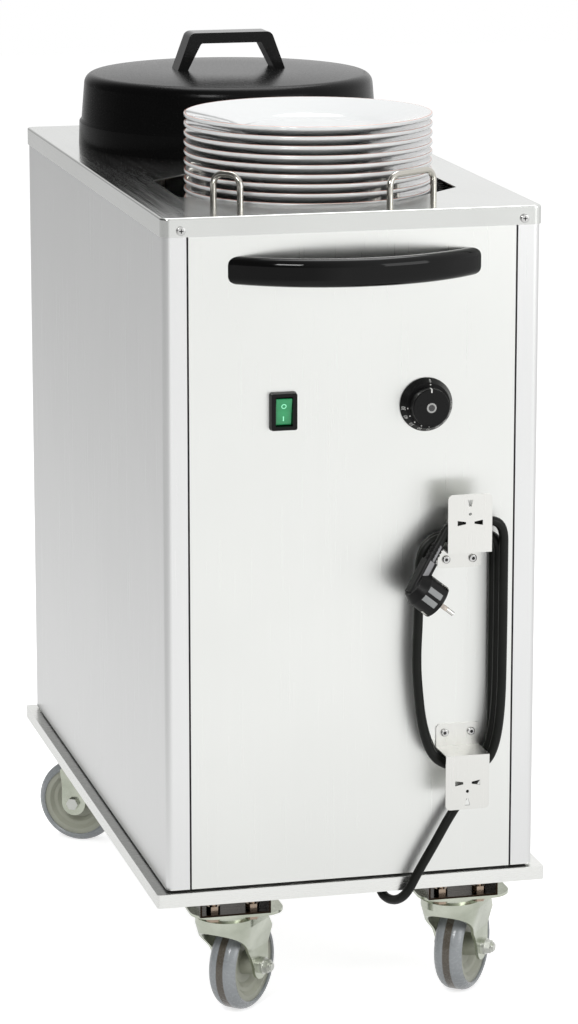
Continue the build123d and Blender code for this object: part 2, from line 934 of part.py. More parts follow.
def report_coil_gap(line):
    """Print the least gap between stretches of the winding that are more than a turn's arc apart."""
    steps = 1200
    spots = [line @ (i / steps) for i in range(steps + 1)]
    step_length = line.length / steps
    apart = int(turn_arc / step_length)
    least = min(
        (spots[i] - spots[j]).length
        for i in range(0, steps + 1, 2)
        for j in range(i + apart, steps + 1, 2)
    )
    print(f"cord_coil: least gap to itself {least - cord_diameter:.2f} mm")


def make_cord_coil():
    points, radii = coil_route()
    line = sweep_cord(points, radii, "cord_coil")
    report_coil_gap(line)


def plug_point(local, start, axis):
    """The point at distance local along axis from start, moved from the cover's middle."""
    place = Vector(*start) + Vector(*axis).normalized() * local
    return Vector(place.X, place.Y + mid_y, place.Z)


def make_plug_body():
    """The angled plug: a round head, tapered at the back, on a straight neck."""
    head_back = along(plug_point(-plug_depth, plug_face, plug_axis), plug_axis)
    shoulder = along(plug_point(plug_back_taper - plug_depth, plug_face, plug_axis), plug_axis)
    neck = along(plug_point(0, neck_foot, neck_axis), neck_axis)
    with BuildPart() as plug_body:
        with BuildSketch(head_back):
            Circle(plug_back_radius)
        with BuildSketch(shoulder):
            Circle(plug_radius)
        loft()
        with BuildSketch(shoulder):
            Circle(plug_radius)
        extrude(amount=plug_depth - plug_back_taper)
        with BuildSketch(neck):
            RectangleRounded(2 * neck_radius, 2 * neck_radius, neck_radius / 2)
        extrude(amount=neck_length)
        with BuildSketch(along(plug_point(0, plug_face, plug_axis), plug_axis)):
            with Locations((-pin_spacing / 2, 0), (pin_spacing / 2, 0)):
                Circle(pin_radius)
        extrude(amount=-pin_seat, mode=Mode.SUBTRACT)
    save(plug_body.part, "plug_body")


def make_plug_relief():
    """The ribbed strain relief between the neck and the cord."""
    start = plug_point(neck_length, neck_foot, neck_axis)
    axis = Axis(start, Vector(*neck_axis))
    across = along(start, neck_axis)
    relief_plane = Plane(origin=start, x_dir=across.x_dir, z_dir=across.y_dir)
    pitch = relief_length / relief_ribs
    outline = [(0, 0)]
    for rib in range(relief_ribs):
        foot = -rib * pitch
        rib_end = foot - relief_rib_share * pitch
        outline += [(relief_rib_radius, foot), (relief_rib_radius, rib_end)]
        outline += [(relief_core_radius, rib_end), (relief_core_radius, foot - pitch)]
    outline += [(0, -relief_length)]
    with BuildPart() as plug_relief:
        with BuildSketch(relief_plane):
            with BuildLine():
                Polyline(*outline, close=True)
            make_face()
        revolve(axis=axis)
    save(plug_relief.part, "plug_relief")


def make_plug_pins():
    """Two round pins, sleeved near the plug's face."""
    face = along(plug_point(0, plug_face, plug_axis), plug_axis)
    with BuildPart() as plug_pins:
        with BuildSketch(face.offset(-pin_seat)):
            with Locations((-pin_spacing / 2, 0), (pin_spacing / 2, 0)):
                Circle(pin_radius)
        extrude(amount=pin_seat + pin_length)
        with BuildSketch(face):
            with Locations((-pin_spacing / 2, 0), (pin_spacing / 2, 0)):
                Circle(pin_sleeve_radius)
        extrude(amount=pin_sleeve_length)
    save(plug_pins.part, "plug_pins")


# Wells

def make_plate_guides(well):
    """The bent rods beside one well, each standing on the cover with a stud below it."""
    top = cover_top + guide_height - rod_diameter / 2
    with BuildPart() as plate_guides:
        for (ax, ay), (bx, by) in guide_feet([well]):
            start = Vector(ax, mid_y + ay, cover_top)
            end = Vector(bx, mid_y + by, cover_top)
            with BuildLine() as bow:
                FilletPolyline(start, (start.X, start.Y, top), (end.X, end.Y, top), end, radius=guide_bend)
            with BuildSketch(Plane(origin=start, z_dir=(0, 0, 1))):
                Circle(rod_diameter / 2)
            sweep(path=bow.wires()[0])
            with BuildSketch(Plane(origin=(0, 0, cover_top))):
                with Locations((start.X, start.Y), (end.X, end.Y)):
                    Circle(stud_diameter / 2)
            extrude(amount=-stud_length)
    save(plate_guides.part, f"plate_guides_{well}")


def make_guide_nuts():
    """The nuts that hold the plate guides from under the cover."""
    with BuildPart() as guide_nuts:
        with BuildSketch(level(body_top)):
            for feet in guide_feet():
                with Locations(*feet):
                    RegularPolygon(guide_nut_width / 2, 6, major_radius=False)
                    Circle(stud_diameter / 2, mode=Mode.SUBTRACT)
        extrude(amount=-guide_nut_height)
    save(guide_nuts.part, "guide_nuts")


def rod_places(well):
    half = guide_rod_spacing / 2
    return [(x, well + y) for x in (-half, half) for y in (-half, half)]


def carrier_top_at_rest(platform_top):
    return platform_top - carrier_drop


def make_guide_rods(well, platform_top, lift_travel, name):
    """The four rods that a lift slides on, with feet on the tray and stop collars."""
    stop_bottom = carrier_top_at_rest(platform_top) + bush_height / 2 + lift_travel + stop_clearance
    with BuildPart() as guide_rods:
        with BuildSketch(level(tray_top)):
            with Locations(*rod_places(well)):
                Circle(guide_rod_radius)
        extrude(amount=body_top - tray_top)
        with BuildSketch(level(tray_top)):
            with Locations(*rod_places(well)):
                Circle(rod_foot_radius)
        extrude(amount=rod_foot_height)
        with BuildSketch(level(stop_bottom)):
            with Locations(*rod_places(well)):
                Circle(stop_radius)
        extrude(amount=stop_height)
    save(guide_rods.part, name)


def make_lift_platform(well, platform_top, name):
    """A lift: the dished platform, four hangers and the carrier plate with its bushes."""
    carrier_top = carrier_top_at_rest(platform_top)
    hanger_top = platform_top - platform_sheet
    reach = platform_radius - hanger_inset
    with BuildPart() as lift_platform:
        with BuildSketch(level(platform_top)):
            with Locations((0, well)):
                Circle(platform_radius)
        extrude(amount=-platform_rim)
        with BuildSketch(level(hanger_top)):
            with Locations((0, well)):
                Circle(platform_radius - platform_sheet)
        extrude(amount=-platform_rim, mode=Mode.SUBTRACT)
        with BuildSketch(level(hanger_top)):
            with Locations((-reach, well), (reach, well)):
                Rectangle(hanger_sheet, hanger_width)
            with Locations((0, well - reach), (0, well + reach)):
                Rectangle(hanger_width, hanger_sheet)
        extrude(amount=-(hanger_top - carrier_top))
        with BuildSketch(level(carrier_top)):
            with Locations((0, well)):
                Rectangle(carrier_width, carrier_depth)
                RectangleRounded(window_width, window_depth, window_corner, mode=Mode.SUBTRACT)
        extrude(amount=-carrier_sheet)
        with BuildSketch(level(carrier_top - bush_height / 2)):
            with Locations(*rod_places(well)):
                Circle(bush_radius)
        extrude(amount=bush_height)
        with BuildSketch(level(carrier_top - bush_height)):
            with Locations(*rod_places(well)):
                Circle(guide_rod_radius + bush_clearance)
        extrude(amount=2 * bush_height, mode=Mode.SUBTRACT)
    save(lift_platform.part, name)


def make_lift_springs(well, platform_top, name):
    """Four plain closed springs from the carrier up to the cover."""
    carrier_top = carrier_top_at_rest(platform_top)
    spots = [(x, well + y) for x in (-spring_x, spring_x) for y in (-spring_y, spring_y)]
    with BuildPart() as lift_springs:
        with BuildSketch(level(carrier_top)):
            with Locations(*spots):
                Circle(spring_radius)
        extrude(amount=body_top - carrier_top)
    save(lift_springs.part, name)


def heater_tube(well):
    """A bent tubular heater low in one well."""
    half = heater_length / 2
    span = heater_span / 2
    y = mid_y + well
    with BuildPart() as heater:
        with BuildLine() as path:
            FilletPolyline(
                (-half, y - span, heater_height), (half, y - span, heater_height),
                (half, y + span, heater_height), (-half, y + span, heater_height), radius=heater_bend,
            )
        tube = path.wires()[0]
        with BuildSketch(Plane(origin=tube @ 0, z_dir=tube % 0)):
            Circle(heater_tube_radius)
        sweep(path=tube)
    return heater.part


def make_heating_elements():
    """The heaters of both wells."""
    tubes = [heater_tube(front_well), heater_tube(rear_well)]
    with BuildPart() as heating_elements:
        add(tubes)
    save(heating_elements.part, "heating_elements")


def make_heater_brackets():
    """Two angle brackets on the tray for each heater, drilled for its two legs."""
    width = heater_span + 2 * heater_bracket_margin
    top = heater_height + heater_bracket_margin
    with BuildPart() as heater_brackets:
        for well in (front_well, rear_well):
            y = mid_y + well
            for x in heater_bracket_places:
                with BuildSketch(facing_right(x)):
                    with Locations((y, (tray_top + top) / 2)):
                        Rectangle(width, top - tray_top)
                    legs = [(y + side * heater_span / 2, heater_height) for side in (-1, 1)]
                    with Locations(*legs):
                        Circle(heater_tube_radius + heater_clearance, mode=Mode.SUBTRACT)
                extrude(amount=heater_bracket_sheet)
                with BuildSketch(Plane(origin=(x, y, tray_top))):
                    with Locations((heater_bracket_foot / 2, 0)):
                        Rectangle(heater_bracket_foot, width)
                extrude(amount=heater_bracket_sheet)
    save(heater_brackets.part, "heater_brackets")


def make_terminal_block():
    """The block on the tray where the cord is wired, beside its gland."""
    bottom = tray_top
    with BuildPart() as terminal_block:
        for width, depth, height in (terminal_base, terminal_top):
            with BuildSketch(level(bottom)):
                with Locations(terminal_place):
                    Rectangle(width, depth)
            extrude(amount=height)
            bottom += height
    save(terminal_block.part, "terminal_block")


# Plates and lid

def make_plates():
    """The stack of plates, each resting on the well of the one below, and the top one by itself."""
    foot = (plate_stack_x, stack_y, plate_stack_base)
    plate_plane = Plane(origin=foot, x_dir=(1, 0, 0), z_dir=(0, -1, 0))
    with BuildPart() as plate:
        with BuildSketch(plate_plane):
            with BuildLine():
                Polyline(
                    (0, 0), (plate_foot, 0), (plate_foot + plate_foot_slope, plate_foot_height),
                    (plate_radius - plate_rim_slope, plate_height - plate_edge),
                    (plate_radius, plate_height),
                    (plate_foot + plate_well_slope, plate_pitch), (0, plate_pitch), close=True,
                )
            make_face()
        revolve(axis=Axis((plate_stack_x, stack_y, 0), (0, 0, 1)))
    stack = [Pos(0, 0, number * plate_pitch) * plate.part for number in range(plate_count)]
    save(Compound(children=stack[:-1]), "plates")
    save(stack[-1], "plate_top")


def lid_solid(inset):
    """The lid as a turned solid: a plain band, a step, a tapered wall and a low dome."""
    crown = lid_height - inset
    section_plane = Plane(origin=(lid_x, lid_y, cover_top), x_dir=(1, 0, 0), z_dir=(0, -1, 0))
    with BuildPart() as solid:
        with BuildSketch(section_plane) as section:
            with BuildLine():
                wall = Polyline(
                    (0, crown), (0, 0), (lid_radius - inset, 0),
                    (lid_radius - lid_band_taper - inset, lid_band - inset),
                    (lid_radius - lid_step - inset, lid_band + lid_step - inset),
                    (lid_radius - lid_step - lid_taper - inset, lid_shoulder - inset),
                )
                middle = Line(wall @ 0, (lid_flat, crown))
                TangentArc(middle @ 1, wall @ 1, tangent=middle % 1)
            make_face()
            shoulder = section.vertices().sort_by(Axis.Y)[-3]
            fillet(shoulder, lid_shoulder_round - inset)
        revolve(axis=Axis((lid_x, lid_y, 0), (0, 0, 1)))
    return solid.part


def make_lid():
    """The turned cover of the rear well, hollow below."""
    outside = lid_solid(0)
    inside = lid_solid(lid_wall)
    with BuildPart() as lid:
        add(outside)
        add(inside, mode=Mode.SUBTRACT)
        with BuildSketch(Plane(origin=(lid_x, lid_y, cover_top + lid_height))):
            with Locations((-lid_screw_spacing / 2, 0), (lid_screw_spacing / 2, 0)):
                Circle(screw_radius + panel_clearance)
        extrude(amount=-2 * lid_wall, mode=Mode.SUBTRACT)
    save(lid.part, "lid")


def make_lid_handle():
    """A bow of flat bar standing on the lid, its feet wider apart than its grip."""
    crown = cover_top + lid_height
    base, top = lid_handle_base / 2, lid_handle_crown / 2
    bar, height = lid_handle_bar, lid_handle_height
    with BuildPart() as lid_handle:
        with BuildSketch(Plane(origin=(lid_x, lid_y, crown), x_dir=(1, 0, 0), z_dir=(0, -1, 0))):
            with BuildLine():
                Polyline(
                    (-base, 0), (-top, height), (top, height), (base, 0), (base - bar, 0),
                    (top - bar, height - bar), (bar - top, height - bar), (bar - base, 0), close=True,
                )
            make_face()
        extrude(amount=lid_handle_depth / 2, both=True)
        outer = lid_handle.edges().filter_by(Axis.Y).sort_by(Axis.Z)
        fillet(outer[-2:], lid_handle_round)
        fillet(outer[-4:-2], lid_handle_foot_round)
        with BuildSketch(Plane(origin=(lid_x, lid_y, crown))):
            with Locations((-lid_screw_spacing / 2, 0), (lid_screw_spacing / 2, 0)):
                Circle(screw_radius)
        extrude(amount=screw_length + screw_end, mode=Mode.SUBTRACT)
    save(lid_handle.part, "lid_handle")


def make_lid_screws():
    """The two screws that hold the lid's handle from inside."""
    screws = []
    for side in (-1, 1):
        head_plane = Plane(
            origin=(lid_x + side * lid_screw_spacing / 2, lid_y, cover_top + lid_height - lid_wall),
            x_dir=(1, 0, 0), z_dir=(0, 0, -1),
        )
        screws.append(pan_screw(head_plane, pan_head_radius, screw_length))
    with BuildPart() as lid_screws:
        add(screws)
    save(lid_screws.part, "lid_screws")


# Castors

def castor_places():
    """Every castor's name, swivel axis from the cover's middle, and heading in degrees."""
    for name, heading in castor_headings.items():
        x = -castor_x if name.endswith("left") else castor_x
        y = front_castor_y if name.startswith("front") else rear_castor_y
        yield name, x, y, heading


def make_castor_channels():
    """A short channel under the tray for each castor, open to the front and the back."""
    depth = tray_underside - castor_plate_bottom - castor_plate_sheet
    with BuildPart() as castor_channels:
        for _, x, y, _ in castor_places():
            with BuildSketch(level(tray_underside)):
                with Locations((x, y)):
                    Rectangle(channel_width, castor_plate_depth)
            extrude(amount=-depth)
            with BuildSketch(level(tray_underside)):
                with Locations((x, y)):
                    Rectangle(channel_width - 2 * channel_sheet, castor_plate_depth)
            extrude(amount=channel_sheet - depth, mode=Mode.SUBTRACT)
        with BuildSketch(level(tray_underside)):
            with Locations(*bolt_places()):
                Circle(bolt_radius + panel_clearance)
        extrude(amount=-depth - channel_sheet, mode=Mode.SUBTRACT)
    save(castor_channels.part, "castor_channels")


def bolt_places():
    """The four bolts of every castor plate, from the cover's middle."""
    return [
        (x + side_x * bolt_spacing_x / 2, y + side_y * bolt_spacing_y / 2)
        for _, x, y, _ in castor_places()
        for side_x in (-1, 1)
        for side_y in (-1, 1)
    ]


def make_castor_plates():
    """The castors' fixed halves: a top plate, the upper race and the king rivet."""
    race_top = castor_plate_bottom
    crown_bottom = fork_crown_top - fork_wall
    spots = [(x, y) for _, x, y, _ in castor_places()]
    plate_spots = [(x + castor_plate_shift, y) for x, y in spots]
    with BuildPart() as castor_plates:
        with BuildSketch(level(castor_plate_bottom)):
            with Locations(*plate_spots):
                RectangleRounded(castor_plate_width, castor_plate_depth, castor_plate_corner)
            with Locations(*bolt_places()):
                Circle(bolt_radius + panel_clearance, mode=Mode.SUBTRACT)
        extrude(amount=castor_plate_sheet)
        with BuildSketch(level(race_top)):
            with Locations(*spots):
                Circle(race_radius)
        extrude(amount=-(race_top - race_split - swivel_gap))
        with BuildSketch(level(race_top)):
            with Locations(*spots):
                Circle(king_radius)
        extrude(amount=-(race_top - crown_bottom + swivel_gap))
        with BuildSketch(level(crown_bottom - swivel_gap)):
            with Locations(*spots):
                Circle(king_head_radius)
        extrude(amount=-king_head_height)
    save(castor_plates.part, "castor_plates")


def make_castor_bolts():
    """The bolts of the castor plates, with their nuts inside the channels."""
    channel_floor = castor_plate_bottom + castor_plate_sheet + channel_sheet
    with BuildPart() as castor_bolts:
        with BuildSketch(level(castor_plate_bottom)):
            with Locations(*bolt_places()):
                RegularPolygon(bolt_head_width / 2, 6, major_radius=False)
        extrude(amount=-bolt_head_height)
        with BuildSketch(level(castor_plate_bottom)):
            with Locations(*bolt_places()):
                Circle(bolt_radius)
        extrude(amount=channel_floor + nut_height + bolt_end - castor_plate_bottom)
        with BuildSketch(level(channel_floor)):
            with Locations(*bolt_places()):
                RegularPolygon(bolt_head_width / 2, 6, major_radius=False)
        extrude(amount=nut_height)
    save(castor_bolts.part, "castor_bolts")


def castor_planes(x, y, heading):
    """Planes for one castor: level and side planes at the swivel axis, and one across the axle.

    The level plane's X runs from the swivel axis towards the wheel. The side plane's X and Y
    are that direction and up. The axle plane's X runs along the axle and its Y up.
    """
    turn = math.radians(heading)
    ahead = Vector(math.cos(turn), math.sin(turn), 0)
    left = Vector(-math.sin(turn), math.cos(turn), 0)
    centre = Vector(x, mid_y + y, 0)
    flat = Plane(origin=centre, x_dir=ahead, z_dir=(0, 0, 1))
    side = Plane(origin=centre, x_dir=ahead, z_dir=-left)
    axle = Plane(origin=centre + ahead * castor_trail + Vector(0, 0, wheel_radius), x_dir=left, z_dir=ahead)
    return flat, side, axle


def fork_section(flat, z, half_width):
    """The fork seen from above at height z: a half round in front and two straight legs."""
    rear = castor_trail + fork_boss_radius + fork_tail
    with BuildSketch(flat.offset(z)) as section:
        with BuildLine():
            nose = ThreePointArc((0, half_width), (-half_width, 0), (0, -half_width))
            Polyline(nose @ 1, (rear, -half_width), (rear, half_width), nose @ 0)
        make_face()
    return section.sketch


def fork_block(flat, top, shrink):
    """The fork's outer body, or its hollow when shrink is the wall."""
    wide = fork_crown_radius - shrink
    narrow = fork_leg_half_width - shrink
    with BuildPart() as block:
        extrude(fork_section(flat, fork_taper_top, wide), amount=top - fork_taper_top)
        loft([fork_section(flat, fork_taper_bottom, narrow), fork_section(flat, fork_taper_top, wide)])
        extrude(fork_section(flat, fork_taper_bottom, narrow), amount=-fork_taper_bottom)
    return block.part


def make_castor_fork(flat, side, name):
    """A pressed fork: a round crown that narrows to two legs, arched over the wheel."""
    outer = fork_block(flat, fork_crown_top, 0)
    hollow = fork_block(flat, fork_crown_top - fork_wall, fork_wall)
    boss_front = castor_trail - fork_boss_radius
    boss_rear = castor_trail + fork_boss_radius
    nose = -fork_crown_radius - fork_margin
    above = fork_crown_top + fork_margin
    with BuildSketch(side) as profile:
        with BuildLine():
            crown = Polyline((nose, fork_nose_bottom), (nose, above), (fork_crown_rear, above))
            rear = Polyline(crown @ 1, (boss_rear, fork_heel), (boss_rear, wheel_radius))
            boss = ThreePointArc(
                rear @ 1, (castor_trail, wheel_radius - fork_boss_radius), (boss_front, wheel_radius)
            )
            ThreePointArc(boss @ 1, fork_arch, crown @ 0)
        make_face()
    with BuildPart() as castor_fork:
        add(outer)
        extrude(profile.sketch, amount=2 * fork_crown_radius, both=True, mode=Mode.INTERSECT)
        add(hollow, mode=Mode.SUBTRACT)
        with BuildSketch(flat.offset(fork_crown_top)):
            Circle(race_radius)
        extrude(amount=race_split - fork_crown_top)
        with BuildSketch(flat.offset(race_split)):
            Circle(king_radius + running_clearance)
        extrude(amount=-(race_split - fork_crown_top + 2 * fork_wall), mode=Mode.SUBTRACT)
        with BuildSketch(side):
            with Locations((castor_trail, wheel_radius)):
                Circle(bolt_radius + running_clearance)
        extrude(amount=2 * fork_leg_half_width, both=True, mode=Mode.SUBTRACT)
    save(castor_fork.part, f"castor_fork_{name}")


def wheel_axis(axle):
    return Axis(axle.origin, axle.x_dir)


def make_castor_rim(axle, name):
    """A dished plastic wheel centre with a stepped rim, a web and a long hub."""
    hub_half = fork_leg_half_width - fork_wall - swivel_gap
    ring = rim_ring_width / 2
    rim_radius = wheel_radius - tyre_depth
    half = [(ring, rim_radius)]
    half += [(ring - inward, rim_radius - down) for inward, down in rim_steps]
    half += [
        (web_half_width, rim_radius - web_outside), (web_half_width, hub_radius + hub_flare),
        (hub_half, hub_radius), (hub_half, bolt_radius + axle_clearance),
    ]
    with BuildPart() as rim:
        with BuildSketch(axle):
            with BuildLine():
                Polyline(*half, *[(-u, v) for u, v in reversed(half)], close=True)
            make_face()
        revolve(axis=wheel_axis(axle))
    save(rim.part, f"castor_rim_{name}")


def make_castor_tyre(axle, name):
    """A soft round tyre seated on the rim."""
    half = tyre_width / 2
    inner = wheel_radius - tyre_depth
    tread = half - tyre_round
    side_top = inner + tyre_side
    bulge_x, bulge_down = half - tyre_bulge[0], wheel_radius - tyre_bulge[1]
    with BuildPart() as tyre:
        with BuildSketch(axle):
            with BuildLine():
                base = Line((tyre_bead - half, inner), (half - tyre_bead, inner))
                right = Line(base @ 1, (half, side_top))
                right_round = ThreePointArc(right @ 1, (bulge_x, bulge_down), (tread, wheel_radius))
                top = Line(right_round @ 1, (-tread, wheel_radius))
                left_round = ThreePointArc(top @ 1, (-bulge_x, bulge_down), (-half, side_top))
                Line(left_round @ 1, base @ 0)
            make_face()
        revolve(axis=wheel_axis(axle))
    save(tyre.part, f"castor_tyre_{name}")


def make_castor_axle(side, name):
    """The axle bolt: its head on the left leg, a washer and a tall lock nut on the right one."""
    leg = fork_leg_half_width
    nut_face = leg + axle_washer
    centre = (castor_trail, wheel_radius)
    with BuildPart() as axle_bolt:
        with BuildSketch(side.offset(-leg)):
            with Locations(centre):
                Circle(bolt_radius)
        extrude(amount=leg + nut_face + axle_nut_height + axle_end)
        with BuildSketch(side.offset(-leg)):
            with Locations(centre):
                RegularPolygon(bolt_head_width / 2, 6, major_radius=False)
        extrude(amount=-bolt_head_height)
        with BuildSketch(side.offset(leg)):
            with Locations(centre):
                Circle(axle_washer_radius)
        extrude(amount=axle_washer)
        with BuildSketch(side.offset(nut_face)):
            with Locations(centre):
                RegularPolygon(bolt_head_width / 2, 6, major_radius=False)
        extrude(amount=axle_nut_flats)
        with BuildSketch(side.offset(nut_face)):
            with Locations(centre):
                Circle(bolt_head_width / 2 - axle_collar_inset)
        extrude(amount=axle_nut_height)
    save(axle_bolt.part, f"castor_axle_{name}")


# Build every piece
make_top_cover()
make_side_panel(-1, "side_panel_left")
make_side_panel(1, "side_panel_right")
make_front_panel()
make_rear_panel()
make_base_tray()
make_base_seal()
make_cover_screws()
make_push_handle()
make_handle_screws()

make_switch_bezel()
make_switch_rocker()
make_thermostat()
make_thermostat_knob()
make_knob_disc()

make_cord_bracket(upper_ledge, 1, bracket_plate, "cord_bracket_upper")
make_cord_bracket(lower_ledge, -1, bracket_plate_low, "cord_bracket_lower")
make_bracket_screws()
make_cable_gland()
make_cord_lead()
make_cord_coil()
make_plug_body()
make_plug_relief()
make_plug_pins()
make_terminal_block()

make_plate_guides("front")
make_plate_guides("rear")
make_guide_nuts()
make_plates()
for well, platform_top, travel, name in (
    (front_well, plate_stack_base, lift_up_travel, "front"),
    (rear_well, empty_platform_top, 0.0, "rear"),
):
    make_guide_rods(well, platform_top, travel, f"guide_rods_{name}")
    make_lift_platform(well, platform_top, f"lift_platform_{name}")
    make_lift_springs(well, platform_top, f"lift_springs_{name}")
make_heating_elements()
make_heater_brackets()
make_lid()
make_lid_handle()
make_lid_screws()

make_castor_channels()
make_castor_plates()
make_castor_bolts()
for place, x, y, heading in castor_places():
    flat, side, axle = castor_planes(x, y, heading)
    make_castor_fork(flat, side, place)
    make_castor_rim(axle, place)
    make_castor_tyre(axle, place)
    make_castor_axle(side, place)
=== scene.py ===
# %% [markdown]
# # A heated plate dispenser
# This trolley keeps plates warm in two wells and lifts the stacks on springs as plates are taken.
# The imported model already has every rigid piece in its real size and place. This lesson gives each
# piece the finish of the real one, and adds what solids alone can't show: a bent cord, glazed
# plates, printed marks and soft studio light.

# %% Load the frame
import json
import math

import bpy
import numpy as np
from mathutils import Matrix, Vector


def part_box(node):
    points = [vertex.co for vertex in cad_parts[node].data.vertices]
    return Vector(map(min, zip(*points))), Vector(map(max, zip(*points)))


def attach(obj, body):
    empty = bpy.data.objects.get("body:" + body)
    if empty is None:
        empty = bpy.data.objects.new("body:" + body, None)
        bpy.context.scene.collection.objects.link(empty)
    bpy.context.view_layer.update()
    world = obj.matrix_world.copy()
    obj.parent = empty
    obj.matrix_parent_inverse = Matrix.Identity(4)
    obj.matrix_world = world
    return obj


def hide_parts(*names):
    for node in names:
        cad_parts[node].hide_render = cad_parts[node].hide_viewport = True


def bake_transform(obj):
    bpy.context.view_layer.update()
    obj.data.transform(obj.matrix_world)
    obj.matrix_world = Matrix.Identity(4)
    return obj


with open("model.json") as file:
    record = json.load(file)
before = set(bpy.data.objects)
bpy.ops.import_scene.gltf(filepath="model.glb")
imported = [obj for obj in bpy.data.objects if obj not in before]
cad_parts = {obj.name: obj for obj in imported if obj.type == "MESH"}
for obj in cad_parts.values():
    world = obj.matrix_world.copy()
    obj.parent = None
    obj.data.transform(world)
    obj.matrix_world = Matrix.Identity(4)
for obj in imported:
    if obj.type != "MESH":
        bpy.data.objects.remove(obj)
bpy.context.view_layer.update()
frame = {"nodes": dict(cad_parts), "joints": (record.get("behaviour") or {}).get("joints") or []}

# %% [markdown]
# Lengths are written in millimetres, as on a drawing, and turned into metres where a mesh is made.
# The places of the main parts are read from the frame, so that nothing here is measured twice.

# %% Places
MM = 0.001


def middle(node):
    """The middle of a node's box, as a numpy point."""
    low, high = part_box(node)
    return (np.array(low) + np.array(high)) / 2


deck_middle = middle("top_cover")
front_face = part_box("front_panel")[0].y
knob_centre = middle("thermostat_knob")
bezel_centre = middle("switch_bezel")
plate_centre = middle("plates")
plate_nodes = [name for name in ("plates", "plate_top") if name in frame["nodes"]]
print("front face at", round(front_face, 5), "deck middle", deck_middle.round(4))

# %% [markdown]
# A photograph of a product on white is taken from far away with a long lens, so upright edges
# stay almost parallel. The camera looks down a little and stands to the left of the front.

# %% Camera
LENS_MM = 140.2
YAW = 13.96
PITCH = 12.73
DISTANCE = 4.4835
TARGET_X, TARGET_HEIGHT = 0.0254, 0.4698
FAR_CLIP = 30
look_at = Vector((TARGET_X, deck_middle[1], TARGET_HEIGHT))
yaw, pitch = math.radians(YAW), math.radians(PITCH)
view = Vector((math.sin(yaw) * math.cos(pitch), math.cos(yaw) * math.cos(pitch), -math.sin(pitch)))
camera_data = bpy.data.cameras.new("camera")
camera_data.lens = LENS_MM
camera_data.clip_end = FAR_CLIP
camera = bpy.data.objects.new("camera", camera_data)
camera.location = look_at - view * DISTANCE
camera.rotation_euler = (math.pi / 2 - pitch, 0, -yaw)
bpy.context.collection.objects.link(camera)
bpy.context.scene.camera = camera
bpy.context.scene.view_settings.view_transform = "Standard"
print("camera at", [round(v, 3) for v in camera.location])

# %% [markdown]
# A material is a small graph. These helpers keep the graphs short: one adds a node with its
# inputs, one starts a shader node group with named sockets. A group is the right tool for an
# effect that several finishes share, because it is built once and tuned where it is used. The
# rest are short chains of nodes that several materials need: a colour between two others, a
# distance measured on the surface, and a mask that fades out over a stretch of it.


# %% Node helpers
def add(tree, kind, inputs=None, **settings):
    """A shader node whose inputs are values or other nodes' outputs."""
    node = tree.nodes.new("ShaderNode" + kind)
    for key, value in settings.items():
        setattr(node, key, value)
    for key, value in (inputs or {}).items():
        if isinstance(value, bpy.types.NodeSocket):
            tree.links.new(value, node.inputs[key])
        else:
            node.inputs[key].default_value = value
    return node


def group(name, inputs, outputs):
    """An empty node group with its sockets, and its entry and exit nodes."""
    tree = bpy.data.node_groups.new(name, "ShaderNodeTree")
    for socket_name, kind, value in inputs:
        socket = tree.interface.new_socket(name=socket_name, in_out="INPUT", socket_type=kind)
        socket.default_value = value
    for socket_name in outputs:
        tree.interface.new_socket(name=socket_name, in_out="OUTPUT", socket_type="NodeSocketFloat")
    enter = tree.nodes.new("NodeGroupInput")
    leave = tree.nodes.new("NodeGroupOutput")
    return tree, enter, leave


def place(tree, source):
    """A use of a node group inside a material."""
    node = tree.nodes.new("ShaderNodeGroup")
    node.node_tree = source
    return node


def rgba(colour):
    """A colour with full opacity."""
    return (*colour, 1.0)


def grey(level):
    """A colour whose red, green and blue are the same."""
    return (level, level, level)


def mixed(tree, factor, first, second):
    """A colour between two, each of which is a colour or another node's output."""
    return add(tree, "Mix", {"Factor": factor, 6: first, 7: second}, data_type="RGBA").outputs[2]


def distance_from(tree, point):
    """How far each place on the surface lies from a point."""
    where = add(tree, "TexCoord")
    return add(tree, "VectorMath", {0: where.outputs["Object"], 1: tuple(point)},
               operation="DISTANCE").outputs["Value"]


def distance_along(tree, point, axis):
    """How far each place on the surface lies from a point, measured along an axis."""
    where = add(tree, "TexCoord")
    offset = add(tree, "VectorMath", {0: where.outputs["Object"], 1: tuple(point)}, operation="SUBTRACT")
    return add(tree, "VectorMath", {0: offset.outputs[0], 1: tuple(axis)},
               operation="DOT_PRODUCT").outputs["Value"]


def fade(tree, distance, near, far, high=1.0, low=0.0):
    """From high to low while a distance grows from near to far, both in millimetres."""
    return add(tree, "MapRange", {"Value": distance, "From Min": near * MM, "From Max": far * MM,
                                  "To Min": high, "To Max": low}).outputs[0]


def tint(tree, mask, colour):
    """Lay a colour over a material's own tone where the mask is one."""
    base = tree.nodes["Principled BSDF"].inputs["Base Color"]
    tree.links.new(mixed(tree, mask, base.links[0].from_socket, rgba(colour)), base)


# %% [markdown]
# Brushed steel is rolled sheet that an abrasive belt has run over in one direction. Its scratches
# are a fraction of a millimetre wide and many centimetres long, so the noise is squeezed across
# the belt's direction and drawn out along it. A second, broad noise stands for the slight
# unevenness of hand polish and handling. Noise of several octaves repeats its grid planes at zero,
# which would draw a line down the middle of a panel, so the pattern is moved well away from there.

